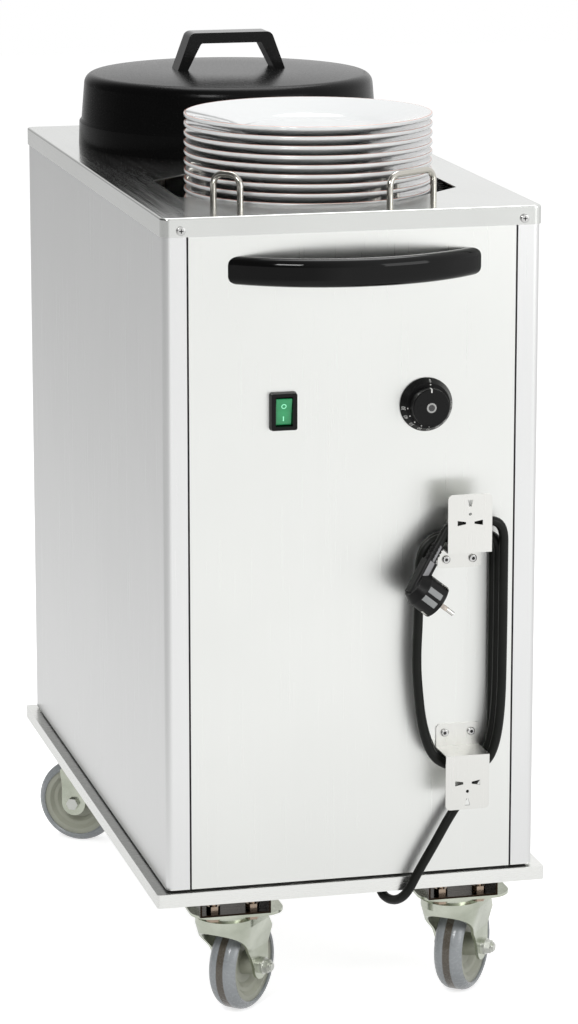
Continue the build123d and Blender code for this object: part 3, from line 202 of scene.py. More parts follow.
# %% Brushed grain group
GRAIN_SHIFT = (3.713, 5.291, 2.457)
grain_group, enter, leave = group(
    "brushed_grain",
    [("Stretch", "NodeSocketVector", (700.0, 700.0, 9.0)), ("Cloud Scale", "NodeSocketFloat", 7.0)],
    ["Streak", "Cloud"],
)
where = add(grain_group, "TexCoord")
moved = add(grain_group, "VectorMath", {0: where.outputs["Object"], 1: GRAIN_SHIFT}, operation="ADD")
stretched = add(grain_group, "VectorMath", {0: moved.outputs[0], 1: enter.outputs["Stretch"]},
                operation="MULTIPLY")
streak = add(grain_group, "TexNoise",
             {"Vector": stretched.outputs[0], "Scale": 1.0, "Detail": 4.0, "Roughness": 0.65})
cloud = add(grain_group, "TexNoise",
            {"Vector": moved.outputs[0], "Scale": enter.outputs["Cloud Scale"], "Detail": 3.0})
grain_group.links.new(streak.outputs["Fac"], leave.inputs["Streak"])
grain_group.links.new(cloud.outputs["Fac"], leave.inputs["Cloud"])
print("brushed grain nodes", len(grain_group.nodes))

# %% [markdown]
# Moulded plastic, rubber and zinc plating have no direction. Their group mixes a fine even grain
# with broad blotches.

# %% Even grain group
even_group, enter, leave = group(
    "even_grain",
    [("Grain Scale", "NodeSocketFloat", 900.0), ("Blotch Scale", "NodeSocketFloat", 30.0)],
    ["Grain", "Blotch"],
)
where = add(even_group, "TexCoord")
moved = add(even_group, "VectorMath", {0: where.outputs["Object"], 1: GRAIN_SHIFT}, operation="ADD")
fine = add(even_group, "TexNoise",
           {"Vector": moved.outputs[0], "Scale": enter.outputs["Grain Scale"], "Detail": 2.0})
broad = add(even_group, "TexNoise",
            {"Vector": moved.outputs[0], "Scale": enter.outputs["Blotch Scale"], "Detail": 4.0})
even_group.links.new(fine.outputs["Fac"], leave.inputs["Grain"])
even_group.links.new(broad.outputs["Fac"], leave.inputs["Blotch"])
print("even grain nodes", len(even_group.nodes))

# %% [markdown]
# Two functions make nearly every finish here. Each mixes a light and a dark tone by the broad
# noise, varies the roughness, and lets the fine noise raise the surface by about a hundredth of a
# millimetre at most. Noise seldom leaves its middle range, so that range is spread over the
# roughness.

# %% Finishes
NOISE_LOW, NOISE_HIGH = 0.3, 0.7
COAT_ROUGHNESS = 0.08


def finish(name, source, settings, fine, broad, dark, light, rough, depth, metallic=0.0, coat=0.0,
           specular=0.5):
    """A material from one of the two grain groups: tones, roughness range and bump depth in mm."""
    material = bpy.data.materials.new(name)
    material.use_nodes = True
    tree = material.node_tree
    shader = tree.nodes["Principled BSDF"]
    grain = place(tree, source)
    for key, value in settings.items():
        grain.inputs[key].default_value = value
    tone = mixed(tree, grain.outputs[broad], rgba(dark), rgba(light))
    level = add(tree, "MapRange", {"Value": grain.outputs[fine], "From Min": NOISE_LOW,
                                   "From Max": NOISE_HIGH, "To Min": rough[0], "To Max": rough[1]})
    bump = add(tree, "Bump", {"Height": grain.outputs[fine], "Strength": 1.0, "Distance": depth * MM})
    tree.links.new(tone, shader.inputs["Base Color"])
    tree.links.new(level.outputs[0], shader.inputs["Roughness"])
    tree.links.new(bump.outputs[0], shader.inputs["Normal"])
    shader.inputs["Metallic"].default_value = metallic
    shader.inputs["Coat Weight"].default_value = coat
    shader.inputs["Coat Roughness"].default_value = COAT_ROUGHNESS
    shader.inputs["Specular IOR Level"].default_value = specular
    return material


def brushed(name, dark, light, rough, stretch, depth=0.006):
    """Bare steel with its scratches along the axis where stretch is small."""
    return finish(name, grain_group, {"Stretch": stretch}, "Streak", "Cloud", dark, light, rough, depth,
                  metallic=1.0)


def even(name, dark, light, rough, grain_scale=900.0, blotch=30.0, depth=0.01, metallic=0.0, coat=0.0,
         specular=0.5):
    """A finish with no direction."""
    settings = {"Grain Scale": grain_scale, "Blotch Scale": blotch}
    return finish(name, even_group, settings, "Grain", "Blotch", dark, light, rough, depth, metallic, coat,
                  specular)


def dress(node, material):
    """Give a CAD node one material."""
    mesh = frame["nodes"][node].data
    mesh.materials.clear()
    mesh.materials.append(material)


# %% [markdown]
# The panels' scratches run up and down, the top's run from front to back and the tray's run from
# side to side. Hidden pieces of the wells get plain galvanised and drawn-steel finishes.

# %% Steel and zinc
UP = (650.0, 650.0, 7.0)
BACK = (650.0, 7.0, 650.0)
ACROSS = (7.0, 650.0, 650.0)
BRUSHED_SPREAD = 0.6
panel_steel = brushed("panel_steel", (0.82, 0.83, 0.805), (0.87, 0.88, 0.855), (0.27, 0.33), UP, 0.002)
# The side panels are the same steel as the front and rear. Their slightly darker tone is painted shade on the
# sides that face away from the light.
side_steel = brushed("side_steel", (0.80, 0.805, 0.80), (0.84, 0.845, 0.84), (0.27, 0.33), UP, 0.002)
deck_steel = brushed("deck_steel", (0.68, 0.69, 0.67), (0.76, 0.77, 0.75), (0.12, 0.2), BACK, 0.001)
tray_steel = brushed("tray_steel", (0.84, 0.845, 0.82), (0.90, 0.905, 0.88), (0.24, 0.32), ACROSS, 0.002)
bracket_steel = brushed("bracket_steel", (0.74, 0.74, 0.71), (0.82, 0.82, 0.79), (0.26, 0.34), UP, 0.003)
# The castor channels are bare stainless steel. Their almost black tone is painted shade and a painted dark
# reflection of the tray's underside.
channel_steel = brushed("channel_steel", (0.008, 0.005, 0.003), (0.035, 0.023, 0.015), (0.2, 0.34), ACROSS)
rod_steel = brushed("rod_steel", (0.52, 0.50, 0.45), (0.64, 0.62, 0.57), (0.14, 0.22), UP, 0.002)
for steel in (panel_steel, side_steel):
    steel.node_tree.nodes["Principled BSDF"].inputs["Anisotropic"].default_value = BRUSHED_SPREAD
screw_steel = even("screw_steel", (0.55, 0.55, 0.54), (0.66, 0.66, 0.65), (0.2, 0.3), metallic=1.0,
                   depth=0.003)
galvanised = even("galvanised", (0.42, 0.43, 0.43), (0.6, 0.61, 0.61), (0.35, 0.5), 400.0, 60.0, 0.006, 1.0)
spring_steel = even("spring_steel", grey(0.3), grey(0.42), (0.3, 0.42), metallic=1.0)
heater_steel = even("heater_steel", (0.14, 0.12, 0.1), (0.26, 0.23, 0.2), (0.4, 0.6), metallic=1.0)
zinc = even("zinc", (0.34, 0.37, 0.29), (0.78, 0.81, 0.71), (0.16, 0.26), 500.0, 26.0, 0.002, 1.0)
axle_zinc = even("axle_zinc", (0.60, 0.61, 0.57), (0.72, 0.73, 0.69), (0.3, 0.38), 200.0, 40.0, 0.0002, 1.0)
bolt_zinc = even("bolt_zinc", (0.30, 0.22, 0.16), (0.50, 0.41, 0.33), (0.2, 0.3), 300.0, 80.0, 0.001, 1.0)

for node, material in {
    "front_panel": panel_steel, "rear_panel": panel_steel, "side_panel_left": side_steel,
    "side_panel_right": side_steel, "top_cover": deck_steel, "base_tray": tray_steel,
    "cord_bracket_upper": bracket_steel, "cord_bracket_lower": bracket_steel,
    "castor_channels": channel_steel, "plate_guides_front": rod_steel, "plate_guides_rear": rod_steel,
    "guide_rods_front": rod_steel, "guide_rods_rear": rod_steel, "cover_screws": screw_steel,
    "handle_screws": screw_steel, "bracket_screws": screw_steel, "lid_screws": screw_steel,
    "guide_nuts": screw_steel, "thermostat": galvanised, "lift_platform_front": galvanised,
    "lift_platform_rear": galvanised, "heater_brackets": galvanised, "lift_springs_front": spring_steel,
    "lift_springs_rear": spring_steel, "castor_plates": zinc, "castor_bolts": bolt_zinc,
}.items():
    dress(node, material)
for node in frame["nodes"]:
    if node.startswith("heating_element"):
        dress(node, heater_steel)
print("metals", len(bpy.data.materials))

# %% [markdown]
# The black parts differ mostly in gloss. The push handle is polished, the lid has a fine leathery
# grain, and the cord and plug are soft, dull rubber.

# %% Plastics and rubber
gloss_black = even("gloss_black", grey(0.002), grey(0.004), (0.05, 0.09), depth=0.0006, specular=0.22)
lid_black = even("lid_black", grey(0.0015), grey(0.004), (0.2, 0.28), 500.0, 18.0, 0.012, specular=0.12)
grip_black = even("grip_black", grey(0.002), grey(0.005), (0.08, 0.14), depth=0.002, specular=0.2)
satin_black = even("satin_black", grey(0.003), grey(0.006), (0.26, 0.36), depth=0.006, specular=0.18)
plug_black = even("plug_black", grey(0.005), grey(0.010), (0.34, 0.44), depth=0.01, specular=0.2)
cord_rubber = even("cord_rubber", (0.004, 0.0045, 0.0035), (0.009, 0.010, 0.008), (0.34, 0.46), 1200.0,
                   60.0, 0.01, specular=0.2)
relief_rubber = even("relief_rubber", grey(0.005), grey(0.010), (0.36, 0.46), specular=0.2)
seal_rubber = even("seal_rubber", grey(0.006), grey(0.01), (0.6, 0.8))
terminal_plastic = even("terminal_plastic", (0.62, 0.61, 0.56), (0.74, 0.73, 0.68), (0.4, 0.5))
for node, material in {
    "push_handle": gloss_black, "lid": lid_black, "lid_handle": grip_black, "switch_bezel": satin_black,
    "thermostat_knob": satin_black, "cable_gland": satin_black, "plug_body": plug_black,
    "plug_relief": relief_rubber, "base_seal": seal_rubber, "terminal_block": terminal_plastic,
}.items():
    dress(node, material)
print("metals and plastics", len(bpy.data.materials))

# %% [markdown]
# The switch has a lamp behind green plastic, so the rocker glows most at its middle. The glow is
# the plastic's own emission, weakened by distance from the lamp.

# %% Lit rocker
GLOW_NEAR, GLOW_FAR, GLOW_LEAST = 2.0, 14.0, 0.15
GLOW_STRENGTH = 0.6
rocker_green = even("rocker_green", (0.01, 0.2, 0.07), (0.02, 0.32, 0.12), (0.15, 0.25), depth=0.002,
                    coat=0.4)
tree = rocker_green.node_tree
shader = tree.nodes["Principled BSDF"]
glow = fade(tree, distance_from(tree, bezel_centre), GLOW_NEAR, GLOW_FAR, low=GLOW_LEAST)
glow_colour = mixed(tree, glow, rgba((0.005, 0.06, 0.02)), rgba((0.04, 0.42, 0.14)))
tree.links.new(glow_colour, shader.inputs["Emission Color"])
shader.inputs["Emission Strength"].default_value = GLOW_STRENGTH
dress("switch_rocker", rocker_green)
print("rocker glows from", GLOW_NEAR, "to", GLOW_FAR, "mm from its lamp")

# %% [markdown]
# Each castor wheel is a grey tyre cast round an olive plastic centre. The middle of the tread is
# worn brown. How far a point lies from the wheel's middle plane is the dot product of its place
# with the axle's direction, so the worn band follows each wheel whichever way it points.

# %% Castor wheels
WORN_EDGE = (3.6, 4.6)
wheel_plastic = even("wheel_plastic", (0.36, 0.37, 0.30), (0.48, 0.49, 0.41), (0.3, 0.42))
castors = [j for j in frame["joints"] if j["name"].startswith("roll_")]
for joint in castors:
    place_name = joint["name"].replace("roll_", "")
    tyre = even(f"tyre_{place_name}", (0.29, 0.31, 0.325), (0.38, 0.40, 0.415), (0.2, 0.32), 300.0, 25.0,
                0.01, coat=0.2)
    tree = tyre.node_tree
    across = distance_along(tree, joint["pos_m"], joint["axis"])
    offset = add(tree, "Math", {0: across}, operation="ABSOLUTE")
    tint(tree, fade(tree, offset.outputs[0], *WORN_EDGE), (0.115, 0.10, 0.08))
    dress(f"castor_tyre_{place_name}", tyre)
    dress(f"castor_rim_{place_name}", wheel_plastic)
    dress(f"castor_fork_{place_name}", zinc)
    dress(f"castor_axle_{place_name}", axle_zinc)
print("castors", len(castors))

# %% [markdown]
# A plate is a turned form: one half of its section, carried once round its axis. The section is
# given as a few points and rounded by a Catmull-Rom curve, whose point between two neighbours is
# a cubic of those two and the ones beyond them. The stack repeats one plate at the real pitch.


# %% Turned surfaces
def smooth_line(points, steps):
    """Catmull-Rom through the points: steps places on each stretch, as one array."""
    p = np.array(points, float)
    p = np.vstack([2 * p[0] - p[1], p, 2 * p[-1] - p[-2]])
    t = np.linspace(0, 1, steps, endpoint=False)[None, :, None]
    a, b, c, d = (p[i:len(p) - 3 + i, None, :] for i in range(4))
    curve = 0.5 * (2 * b + (c - a) * t + (2 * a - 5 * b + 4 * c - d) * t ** 2
                   + (3 * b - a - 3 * c + d) * t ** 3)
    return np.vstack([curve.reshape(-1, p.shape[1]), p[-2]])


def shape(name, points, faces, material):
    """A mesh object at the origin, shaded smooth."""
    mesh = bpy.data.meshes.new(name)
    mesh.from_pydata(points.tolist(), [], faces)
    mesh.polygons.foreach_set("use_smooth", np.ones(len(mesh.polygons), bool))
    mesh.materials.append(material)
    thing = bpy.data.objects.new(name, mesh)
    bpy.context.collection.objects.link(thing)
    return thing


def piece(name, points, faces, material, body, slot):
    """A shape that rides on a body."""
    thing = shape(name, points, faces.tolist(), material)
    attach(thing, body)
    return thing


def ring_quads(rings, around):
    """The quads between neighbouring rings of points, each ring closed on itself."""
    row, column = np.meshgrid(np.arange(rings - 1), np.arange(around), indexing="ij")
    here, beside = row * around + column, row * around + (column + 1) % around
    return np.stack([here, beside, beside + around, here + around], -1).reshape(-1, 4)


def turned(profile, steps):
    """Points and quads of a profile of (radius, height) turned once round Z."""
    angle = np.linspace(0, 2 * np.pi, steps, endpoint=False)
    radius, height = profile[:, 0][:, None], profile[:, 1][:, None]
    points = np.stack([radius * np.cos(angle), radius * np.sin(angle), height + 0 * angle], -1)
    return points.reshape(-1, 3), ring_quads(len(profile), steps)


# %% Plates
PLATE_PITCH = 9.9
PLATE_HEIGHT = 25.0
CURVE_STEPS = 5
PLATE_STEPS = 128
LINE_RADIUS = 130.6
LINE_EDGE = (0.5, 0.9)
LINE_STRENGTH = 0.85
plate_low, plate_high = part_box("plates")[0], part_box(plate_nodes[-1])[1]
plate_count = round(((plate_high.z - plate_low.z) / MM - PLATE_HEIGHT) / PLATE_PITCH) + 1
plate_section = smooth_line(
    [(0.01, 2.6), (58, 2.6), (62, 0.4), (65.6, 0.2), (67.5, 3.0), (90, 9.6), (116, 16.6), (129.6, 20.6),
     (131.9, 22.4), (131.2, 24.9), (127, 24.4), (106, 19.6), (84, 14.0), (72, 9.8), (60, 8.7),
     (0.01, 8.4)], CURVE_STEPS)
one_points, one_faces = turned(plate_section, PLATE_STEPS)
stack_offsets = np.arange(plate_count)[:, None, None] * np.array([0, 0, PLATE_PITCH])
plate_points = (one_points[None] + stack_offsets).reshape(-1, 3) * MM
plate_points += np.array([plate_centre[0], plate_centre[1], plate_low.z])
plate_faces = (one_faces[None] + np.arange(plate_count)[:, None, None] * len(one_points)).reshape(-1, 4)

porcelain = even("porcelain", (0.84, 0.86, 0.86), (0.88, 0.895, 0.895), (0.06, 0.1), 200.0, 12.0, 0.004,
                 coat=0.5)
tree = porcelain.node_tree
where = add(tree, "TexCoord")
from_axis = add(tree, "VectorMath", {0: where.outputs["Object"], 1: (plate_centre[0], plate_centre[1], 0)},
                operation="SUBTRACT")
flat = add(tree, "VectorMath", {0: from_axis.outputs[0], 1: (1, 1, 0)}, operation="MULTIPLY")
radius = add(tree, "VectorMath", {0: flat.outputs[0]}, operation="LENGTH")
from_line = add(tree, "Math", {0: radius.outputs["Value"], 1: LINE_RADIUS * MM}, operation="SUBTRACT")
distance = add(tree, "Math", {0: from_line.outputs[0]}, operation="ABSOLUTE")
line = fade(tree, distance.outputs[0], *LINE_EDGE, high=LINE_STRENGTH)
facing = add(tree, "SeparateXYZ", {0: where.outputs["Normal"]})
upper = add(tree, "MapRange", {"Value": facing.outputs["Z"], "From Min": 0.1, "From Max": 0.4})
rim_line = add(tree, "Math", {0: line, 1: upper.outputs[0]}, operation="MULTIPLY")
tint(tree, rim_line.outputs[0], (0.72, 0.22, 0.10))
stack = piece("plate_stack", plate_points, plate_faces, porcelain, "plate_stack", "porcelain")
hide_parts(*plate_nodes)
print("plates", plate_count, "faces", len(plate_faces))

# %% [markdown]
# The mains cord leaves a gland under the tray, bends round the tray's lip and climbs to the
# brackets. There it is wound over the upper ledge and under the lower one, and ends in the plug.
# It is one NURBS curve with a round section. The free stretch is a given list of points. A turn of
# the winding is a loop of corners, with points at both ends and the middle of each upright run to
# keep it straight.

# %% Mains cord
def unit(direction):
    """A direction with length one."""
    return np.array(direction) / np.linalg.norm(direction)


CORD_MM = 10.0
MID_Y = deck_middle[1] / MM
lead = [
    (38.0, -343.0, 149.0), (38.5, -343.5, 131.0), (46.0, -367.0, 127.0), (55.0, -389.0, 139.0),
    (68.0, -391.5, 166.0), (86.0, -392.5, 197.0), (104.0, -391.0, 228.0), (126.0, -386.5, 254.0),
    (142.0, -381.2, 276.0), (148.5, -380.8, 301.0), (149.5, -380.8, 328.0), (149.5, -380.8, 352.0),
]
RIGHT, LEFT, TOP, BOTTOM = 149.5, 67.7, 526.0, 281.0
RIGHT_STEP, LEFT_STEP = 2.25, 3.0
FIRST_Y, HALF_TURN = -380.8, 5.45
winding = []
for turn in range(2):
    right = RIGHT + RIGHT_STEP * turn
    left = LEFT - LEFT_STEP * turn
    up = FIRST_Y - 2 * HALF_TURN * turn
    down = up - HALF_TURN
    bend_x = (right + left) / 2 + 14
    next_right, next_up = right + RIGHT_STEP, down - HALF_TURN
    winding += [(right, up, 420), (right, up, TOP - 40), (right, up, TOP), (bend_x, up - 2, TOP)]
    winding += [(left, down, TOP), (left, down, TOP - 84), (left - 2, down, 405)]
    winding += [(left - 1, down, BOTTOM + 92), (left + 5, down, BOTTOM + 38)]
    winding += [(left + 21, down, BOTTOM + 2), (bend_x, down - 2, BOTTOM)]
    winding += [(next_right - 12, next_up, BOTTOM + 3), (next_right - 1, next_up, BOTTOM + 48)]
PLUG_NECK = unit((0.524, 0.172, 0.834))
NECK_FOOT = np.array((51.0, -421.0, 474.0))
RELIEF_LENGTH = 58.0
relief_end = NECK_FOOT + PLUG_NECK * RELIEF_LENGTH
last = [(154.0, -402.6, 420.0), (154.0, -402.6, 500.0), (154.0, -402.6, 543.0), (122.0, -405.0, 543.0),
        tuple(relief_end + PLUG_NECK * 24.0), tuple(relief_end + PLUG_NECK * 10.0), tuple(relief_end)]
route = np.array(lead + winding + last) + np.array([0, MID_Y, 0])
curve = bpy.data.curves.new("mains_cord", "CURVE")
curve.dimensions = "3D"
curve.bevel_depth = CORD_MM / 2 * MM
curve.bevel_resolution = 6
curve.resolution_u = 8
spline = curve.splines.new("NURBS")
spline.points.add(len(route) - 1)
spline.points.foreach_set("co", np.column_stack([route * MM, np.ones(len(route))]).ravel())
spline.order_u = 3
spline.use_endpoint_u = True
curve.materials.append(cord_rubber)
mains_cord = bpy.data.objects.new("mains_cord", curve)
bpy.context.collection.objects.link(mains_cord)
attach(mains_cord, "trolley")
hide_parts("cord_lead", "cord_coil")
print("cord points", len(route))

# %% [markdown]
# Each lift hangs on four coil springs between the cover and its carrier. They stretch as the lift
# goes down, so they can't ride on one body; here each set is drawn as one fixed mesh at its rest
# length. Both lifts have the same springs. The front ones are drawn a little longer, because the
# plates already weigh on them.


# %% Lift springs
SPRING_RADIUS = 7.0
WIRE_RADIUS = 0.9
COIL_CLEARANCE = 0.05
CLOSED_PITCH = 2.0
STEPS_A_TURN = 12
STEPS_ROUND_WIRE = 6
spring_turns = int((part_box("lift_springs_rear")[1].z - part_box("lift_springs_rear")[0].z) / MM / CLOSED_PITCH)


def coil_spring(x, y, low, high):
    """A circle carried along a helix that turns round (x, y) and climbs evenly from low to high."""
    turn = np.linspace(0, 2 * np.pi * spring_turns, STEPS_A_TURN * spring_turns + 1)[:, None]
    round_wire = np.linspace(0, 2 * np.pi, STEPS_ROUND_WIRE, endpoint=False)[None, :]
    coil = SPRING_RADIUS - WIRE_RADIUS - COIL_CLEARANCE
    climb = (high - low - 2 * WIRE_RADIUS) / turn[-1, 0]
    outward = np.stack([np.cos(turn), np.sin(turn), 0 * turn], -1)
    along = np.stack([-coil * np.sin(turn), coil * np.cos(turn), climb + 0 * turn], -1)
    along /= np.linalg.norm(along, axis=-1, keepdims=True)
    third = np.cross(along, outward)
    centre = (np.array([x, y, low + WIRE_RADIUS]) + coil * outward
              + climb * turn[..., None] * np.array([0, 0, 1]))
    ring = WIRE_RADIUS * (np.cos(round_wire)[..., None] * outward + np.sin(round_wire)[..., None] * third)
    points = np.vstack([(centre + ring).reshape(-1, 3), centre[0], centre[-1]])
    foot, head = len(points) - 2, len(points) - 1
    last_ring = foot - STEPS_ROUND_WIRE
    order = np.arange(STEPS_ROUND_WIRE)
    after = (order + 1) % STEPS_ROUND_WIRE
    caps = np.vstack([np.column_stack([0 * order + foot, after, order]),
                      np.column_stack([0 * order + head, last_ring + order, last_ring + after])])
    return points * MM, ring_quads(len(turn), STEPS_ROUND_WIRE), caps


for well in ("front", "rear"):
    low, high = (np.array(corner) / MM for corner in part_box(f"lift_springs_{well}"))
    points, faces = [], []
    for x in (low[0] + SPRING_RADIUS, high[0] - SPRING_RADIUS):
        for y in (low[1] + SPRING_RADIUS, high[1] - SPRING_RADIUS):
            start = sum(len(part) for part in points)
            one, sides, caps = coil_spring(x, y, low[2], high[2])
            points.append(one)
            faces += (sides + start).tolist() + (caps + start).tolist()
    springs = shape(f"springs_{well}", np.vstack(points), faces, spring_steel)
    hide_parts(f"lift_springs_{well}")
    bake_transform(springs)
    print("springs", well, "turns", spring_turns, "length", round(high[2] - low[2], 1), "faces", len(faces))

# %% [markdown]
# The dial's numbers are printed on the knob's sloping skirt. Each is a text turned into a mesh,
# stood with its foot towards the middle, and laid on the skirt by giving every point the skirt's
# own height at that radius.

# %% Printed marks
white_ink = even("white_ink", (0.6, 0.6, 0.58), (0.72, 0.72, 0.7), (0.4, 0.5), depth=0.001)
SKIRT_RADII = (23.5, 28.0)
SKIRT_PROUD = (9.0, 1.6)
INK_GAP = 0.12
NUMBER_HEIGHT, NUMBER_REACH = 3.0, 25.4
FONT_SIZE_PER_HEIGHT = 1.4
DOT_RADIUS, DOT_REACH = 0.75, 21.9
FIRST_TURN, TURN_STEP, ZERO_TURN = 185, 22, 84


def text_points(words, height):
    """The flat points and triangles of some words, centred on the origin, in millimetres."""
    data = bpy.data.curves.new("words", "FONT")
    data.body = words
    data.size = height * FONT_SIZE_PER_HEIGHT
    data.align_x = "CENTER"
    data.align_y = "CENTER"
    data.resolution_u = 3
    lettering = bpy.data.objects.new("words", data)
    bpy.context.collection.objects.link(lettering)
    mesh = bpy.data.meshes.new_from_object(lettering.evaluated_get(bpy.context.evaluated_depsgraph_get()))
    mesh.calc_loop_triangles()
    points = np.empty(len(mesh.vertices) * 3)
    mesh.vertices.foreach_get("co", points)
    triangles = np.empty(len(mesh.loop_triangles) * 3, int)
    mesh.loop_triangles.foreach_get("vertices", triangles)
    bpy.data.objects.remove(lettering)
    bpy.data.meshes.remove(mesh)
    return points.reshape(-1, 3)[:, :2], triangles.reshape(-1, 3)


def fan(count):
    """The triangles between a first point and the closed ring of count points after it."""
    order = np.arange(count)
    return np.column_stack([0 * order, order + 1, (order + 1) % count + 1])


def disc_points(radius, steps=16):
    """A flat disc as a fan of triangles round its middle."""
    angle = np.linspace(0, 2 * np.pi, steps, endpoint=False)
    rim = np.column_stack([np.cos(angle), np.sin(angle)]) * radius
    return np.vstack([[0, 0], rim]), fan(steps)


def on_skirt(flat_points, turn, radius):
    """Flat points stood at a radius and an angle of the dial, on the skirt's slope."""
    angle = math.radians(turn)
    out = np.array([math.cos(angle), math.sin(angle)])
    side = np.array([math.sin(angle), -math.cos(angle)])
    spot = flat_points[:, :1] * side + (flat_points[:, 1:] + radius) * out
    reach = np.linalg.norm(spot, axis=1)
    proud = np.interp(reach, SKIRT_RADII, SKIRT_PROUD) + INK_GAP
    return np.column_stack([knob_centre[0] + spot[:, 0] * MM, front_face - proud * MM,
                            knob_centre[2] + spot[:, 1] * MM])


def joined(parts):
    """Several (points, triangles) as one, with the second list's numbers moved on."""
    starts = np.cumsum([0] + [len(points) for points, _ in parts[:-1]])
    return (np.vstack([points for points, _ in parts]),
            np.vstack([triangles + start for (_, triangles), start in zip(parts, starts)]))


marks = [(str(30 + 10 * step), FIRST_TURN + TURN_STEP * step) for step in range(9)] + [("0", ZERO_TURN)]
dial = []
for number, turn in marks:
    flat_points, triangles = text_points(number, NUMBER_HEIGHT)
    dial.append((on_skirt(flat_points, turn, NUMBER_REACH), triangles))
    flat_points, triangles = disc_points(DOT_RADIUS)
    dial.append((on_skirt(flat_points, turn, DOT_REACH), triangles))
piece("dial_marks", *joined(dial), white_ink, "knob", "black_plastic")
print("dial marks", len(dial))

# %% [markdown]
# The cap carries a white pointer that runs over its edge, and the rocker has a ring and a bar
# moulded in clear green. All are thin patches laid a tenth of a millimetre above the surface: a
# grid of two parameters, whose height over the panel is the surface's own height. The bright disc
# in the cap is darker inside its ring.


# %% Pointer and switch marks
def grid_faces(rows, columns):
    """The quads of a grid of points stored row by row."""
    row, column = np.meshgrid(np.arange(rows - 1), np.arange(columns - 1), indexing="ij")
    here = (row * columns + column).ravel()
    return np.column_stack([here, here + 1, here + columns + 1, here + columns])


def patch(points):
    """An array of rows x columns x 3 as flat points in metres, and its quads."""
    rows, columns, _ = points.shape
    return points.reshape(-1, 3) * MM, grid_faces(rows, columns)


CAP_EDGE = ((15.0, 18.7, 19.5, 19.9), (22.0, 22.0, 21.2, 16.0))
POINTER_HALF = 0.8
POINTER_LIFT = 0.08
along_pointer = np.array([15.6, 18.7, 19.5, 19.75, 19.9])
across_pointer = np.linspace(-POINTER_HALF, POINTER_HALF, 3)
reach, wide = np.meshgrid(along_pointer, across_pointer, indexing="ij")
knob_mm = np.array([knob_centre[0], front_face, knob_centre[2]]) / MM
pointer_points, pointer_faces = patch(np.stack([
    knob_mm[0] + wide, knob_mm[1] - np.interp(reach, *CAP_EDGE) - INK_GAP,
    knob_mm[2] + reach + POINTER_LIFT], -1))
piece("knob_pointer", pointer_points, pointer_faces, white_ink, "knob", "black_plastic")

RING_EDGE = (3.3, 3.6)
disc_metal = even("disc_metal", (0.32, 0.32, 0.31), (0.44, 0.44, 0.43), (0.2, 0.3), metallic=1.0, depth=0.001)
tree = disc_metal.node_tree
tint(tree, fade(tree, distance_from(tree, middle("knob_disc")), *RING_EDGE), grey(0.09))
dress("knob_disc", disc_metal)

mark_green = even("mark_green", (0.25, 0.8, 0.5), (0.35, 0.9, 0.6), (0.2, 0.3), depth=0.001)
TILT = math.radians(10.0)
ROCKER_PROUD, ROCKER_DIP, ROCKER_HALF = 4.0, 1.2, 13.2
RING_RADII, RING_UP = (1.8, 2.7), 6.2
BAR_HALF, BAR_LOW, BAR_HIGH = 0.6, -9.6, -4.6
MARK_GLOW = 0.35
shader = mark_green.node_tree.nodes["Principled BSDF"]
shader.inputs["Emission Color"].default_value = rgba((0.35, 0.95, 0.6))
shader.inputs["Emission Strength"].default_value = MARK_GLOW


def on_rocker(side, up):
    """Places on the rocker's hollow face: it stands out least at its middle and leans with the tilt."""
    proud = ROCKER_PROUD - ROCKER_DIP * (1 - np.abs(up) / ROCKER_HALF) + INK_GAP
    return np.stack([bezel_centre[0] / MM + side,
                     front_face / MM - proud * math.cos(TILT) - up * math.sin(TILT),
                     bezel_centre[2] / MM - proud * math.sin(TILT) + up * math.cos(TILT)], -1)


turn, ring = np.meshgrid(np.linspace(0, 2 * np.pi, 33), RING_RADII, indexing="ij")
ring_patch = patch(on_rocker(ring * np.cos(turn), RING_UP + ring * np.sin(turn)))
bar_side, bar_up = np.meshgrid([-BAR_HALF, BAR_HALF], np.linspace(BAR_LOW, BAR_HIGH, 5), indexing="ij")
bar_patch = patch(on_rocker(bar_side, bar_up))
piece("rocker_marks", *joined([ring_patch, bar_patch]), mark_green, "rocker", "green_rocker")
print("pointer faces", len(pointer_faces), "rocker mark faces", len(ring_patch[1]) + len(bar_patch[1]))

# %% [markdown]
# The plug has two ribbed grey grips and a bright earth spring on each side of its face. Each is a
# surface in the plug's own directions: along its axis and round its axis.

# %% Plug grips and earth springs
grip_grey = even("grip_grey", (0.26, 0.27, 0.27), (0.38, 0.39, 0.39), (0.45, 0.55), depth=0.01)
NICKEL = {"dark": (0.6, 0.59, 0.56), "light": (0.7, 0.69, 0.66), "rough": (0.12, 0.2), "depth": 0.002,
          "metallic": 1.0}
pin_nickel = even("pin_nickel", **NICKEL)
HEAD_AXIS = unit((0.783, 0.0, -0.622))
HEAD_FACE = np.array((77.0, -421.0 + MID_Y, 465.0))
HEAD_RADIUS = 18.5
TOWARDS = np.array((0.0, -1.0, 0.0))
BELOW = np.cross(HEAD_AXIS, TOWARDS)
GRIP_SIDES = ((-31.0, -9.0), (1.5, 24.0))
GRIP_START, GRIP_END, GRIP_EDGE = -21.0, -4.5, 2.6
GRIP_SINK, GRIP_RISE = 0.1, 0.25
RIB_RISE, RIB_PITCH = 0.22, 2.06
EARTH_ANGLES, EARTH_HALF = (-66.0, 70.0), 7
EARTH_REACH = (-9.0, -4.0, -0.4, 0.5, 0.6, 0.5)
EARTH_RADIUS = (18.55, 18.9, 18.9, 18.6, 17.0, 15.0)


def round_head(along, angle, radius):
    """Points on the head: along its axis, an angle in degrees from the front, and a radius."""
    angle = np.radians(angle)[..., None]
    return (HEAD_FACE + along[..., None] * HEAD_AXIS
            + radius[..., None] * (np.cos(angle) * TOWARDS + np.sin(angle) * BELOW))


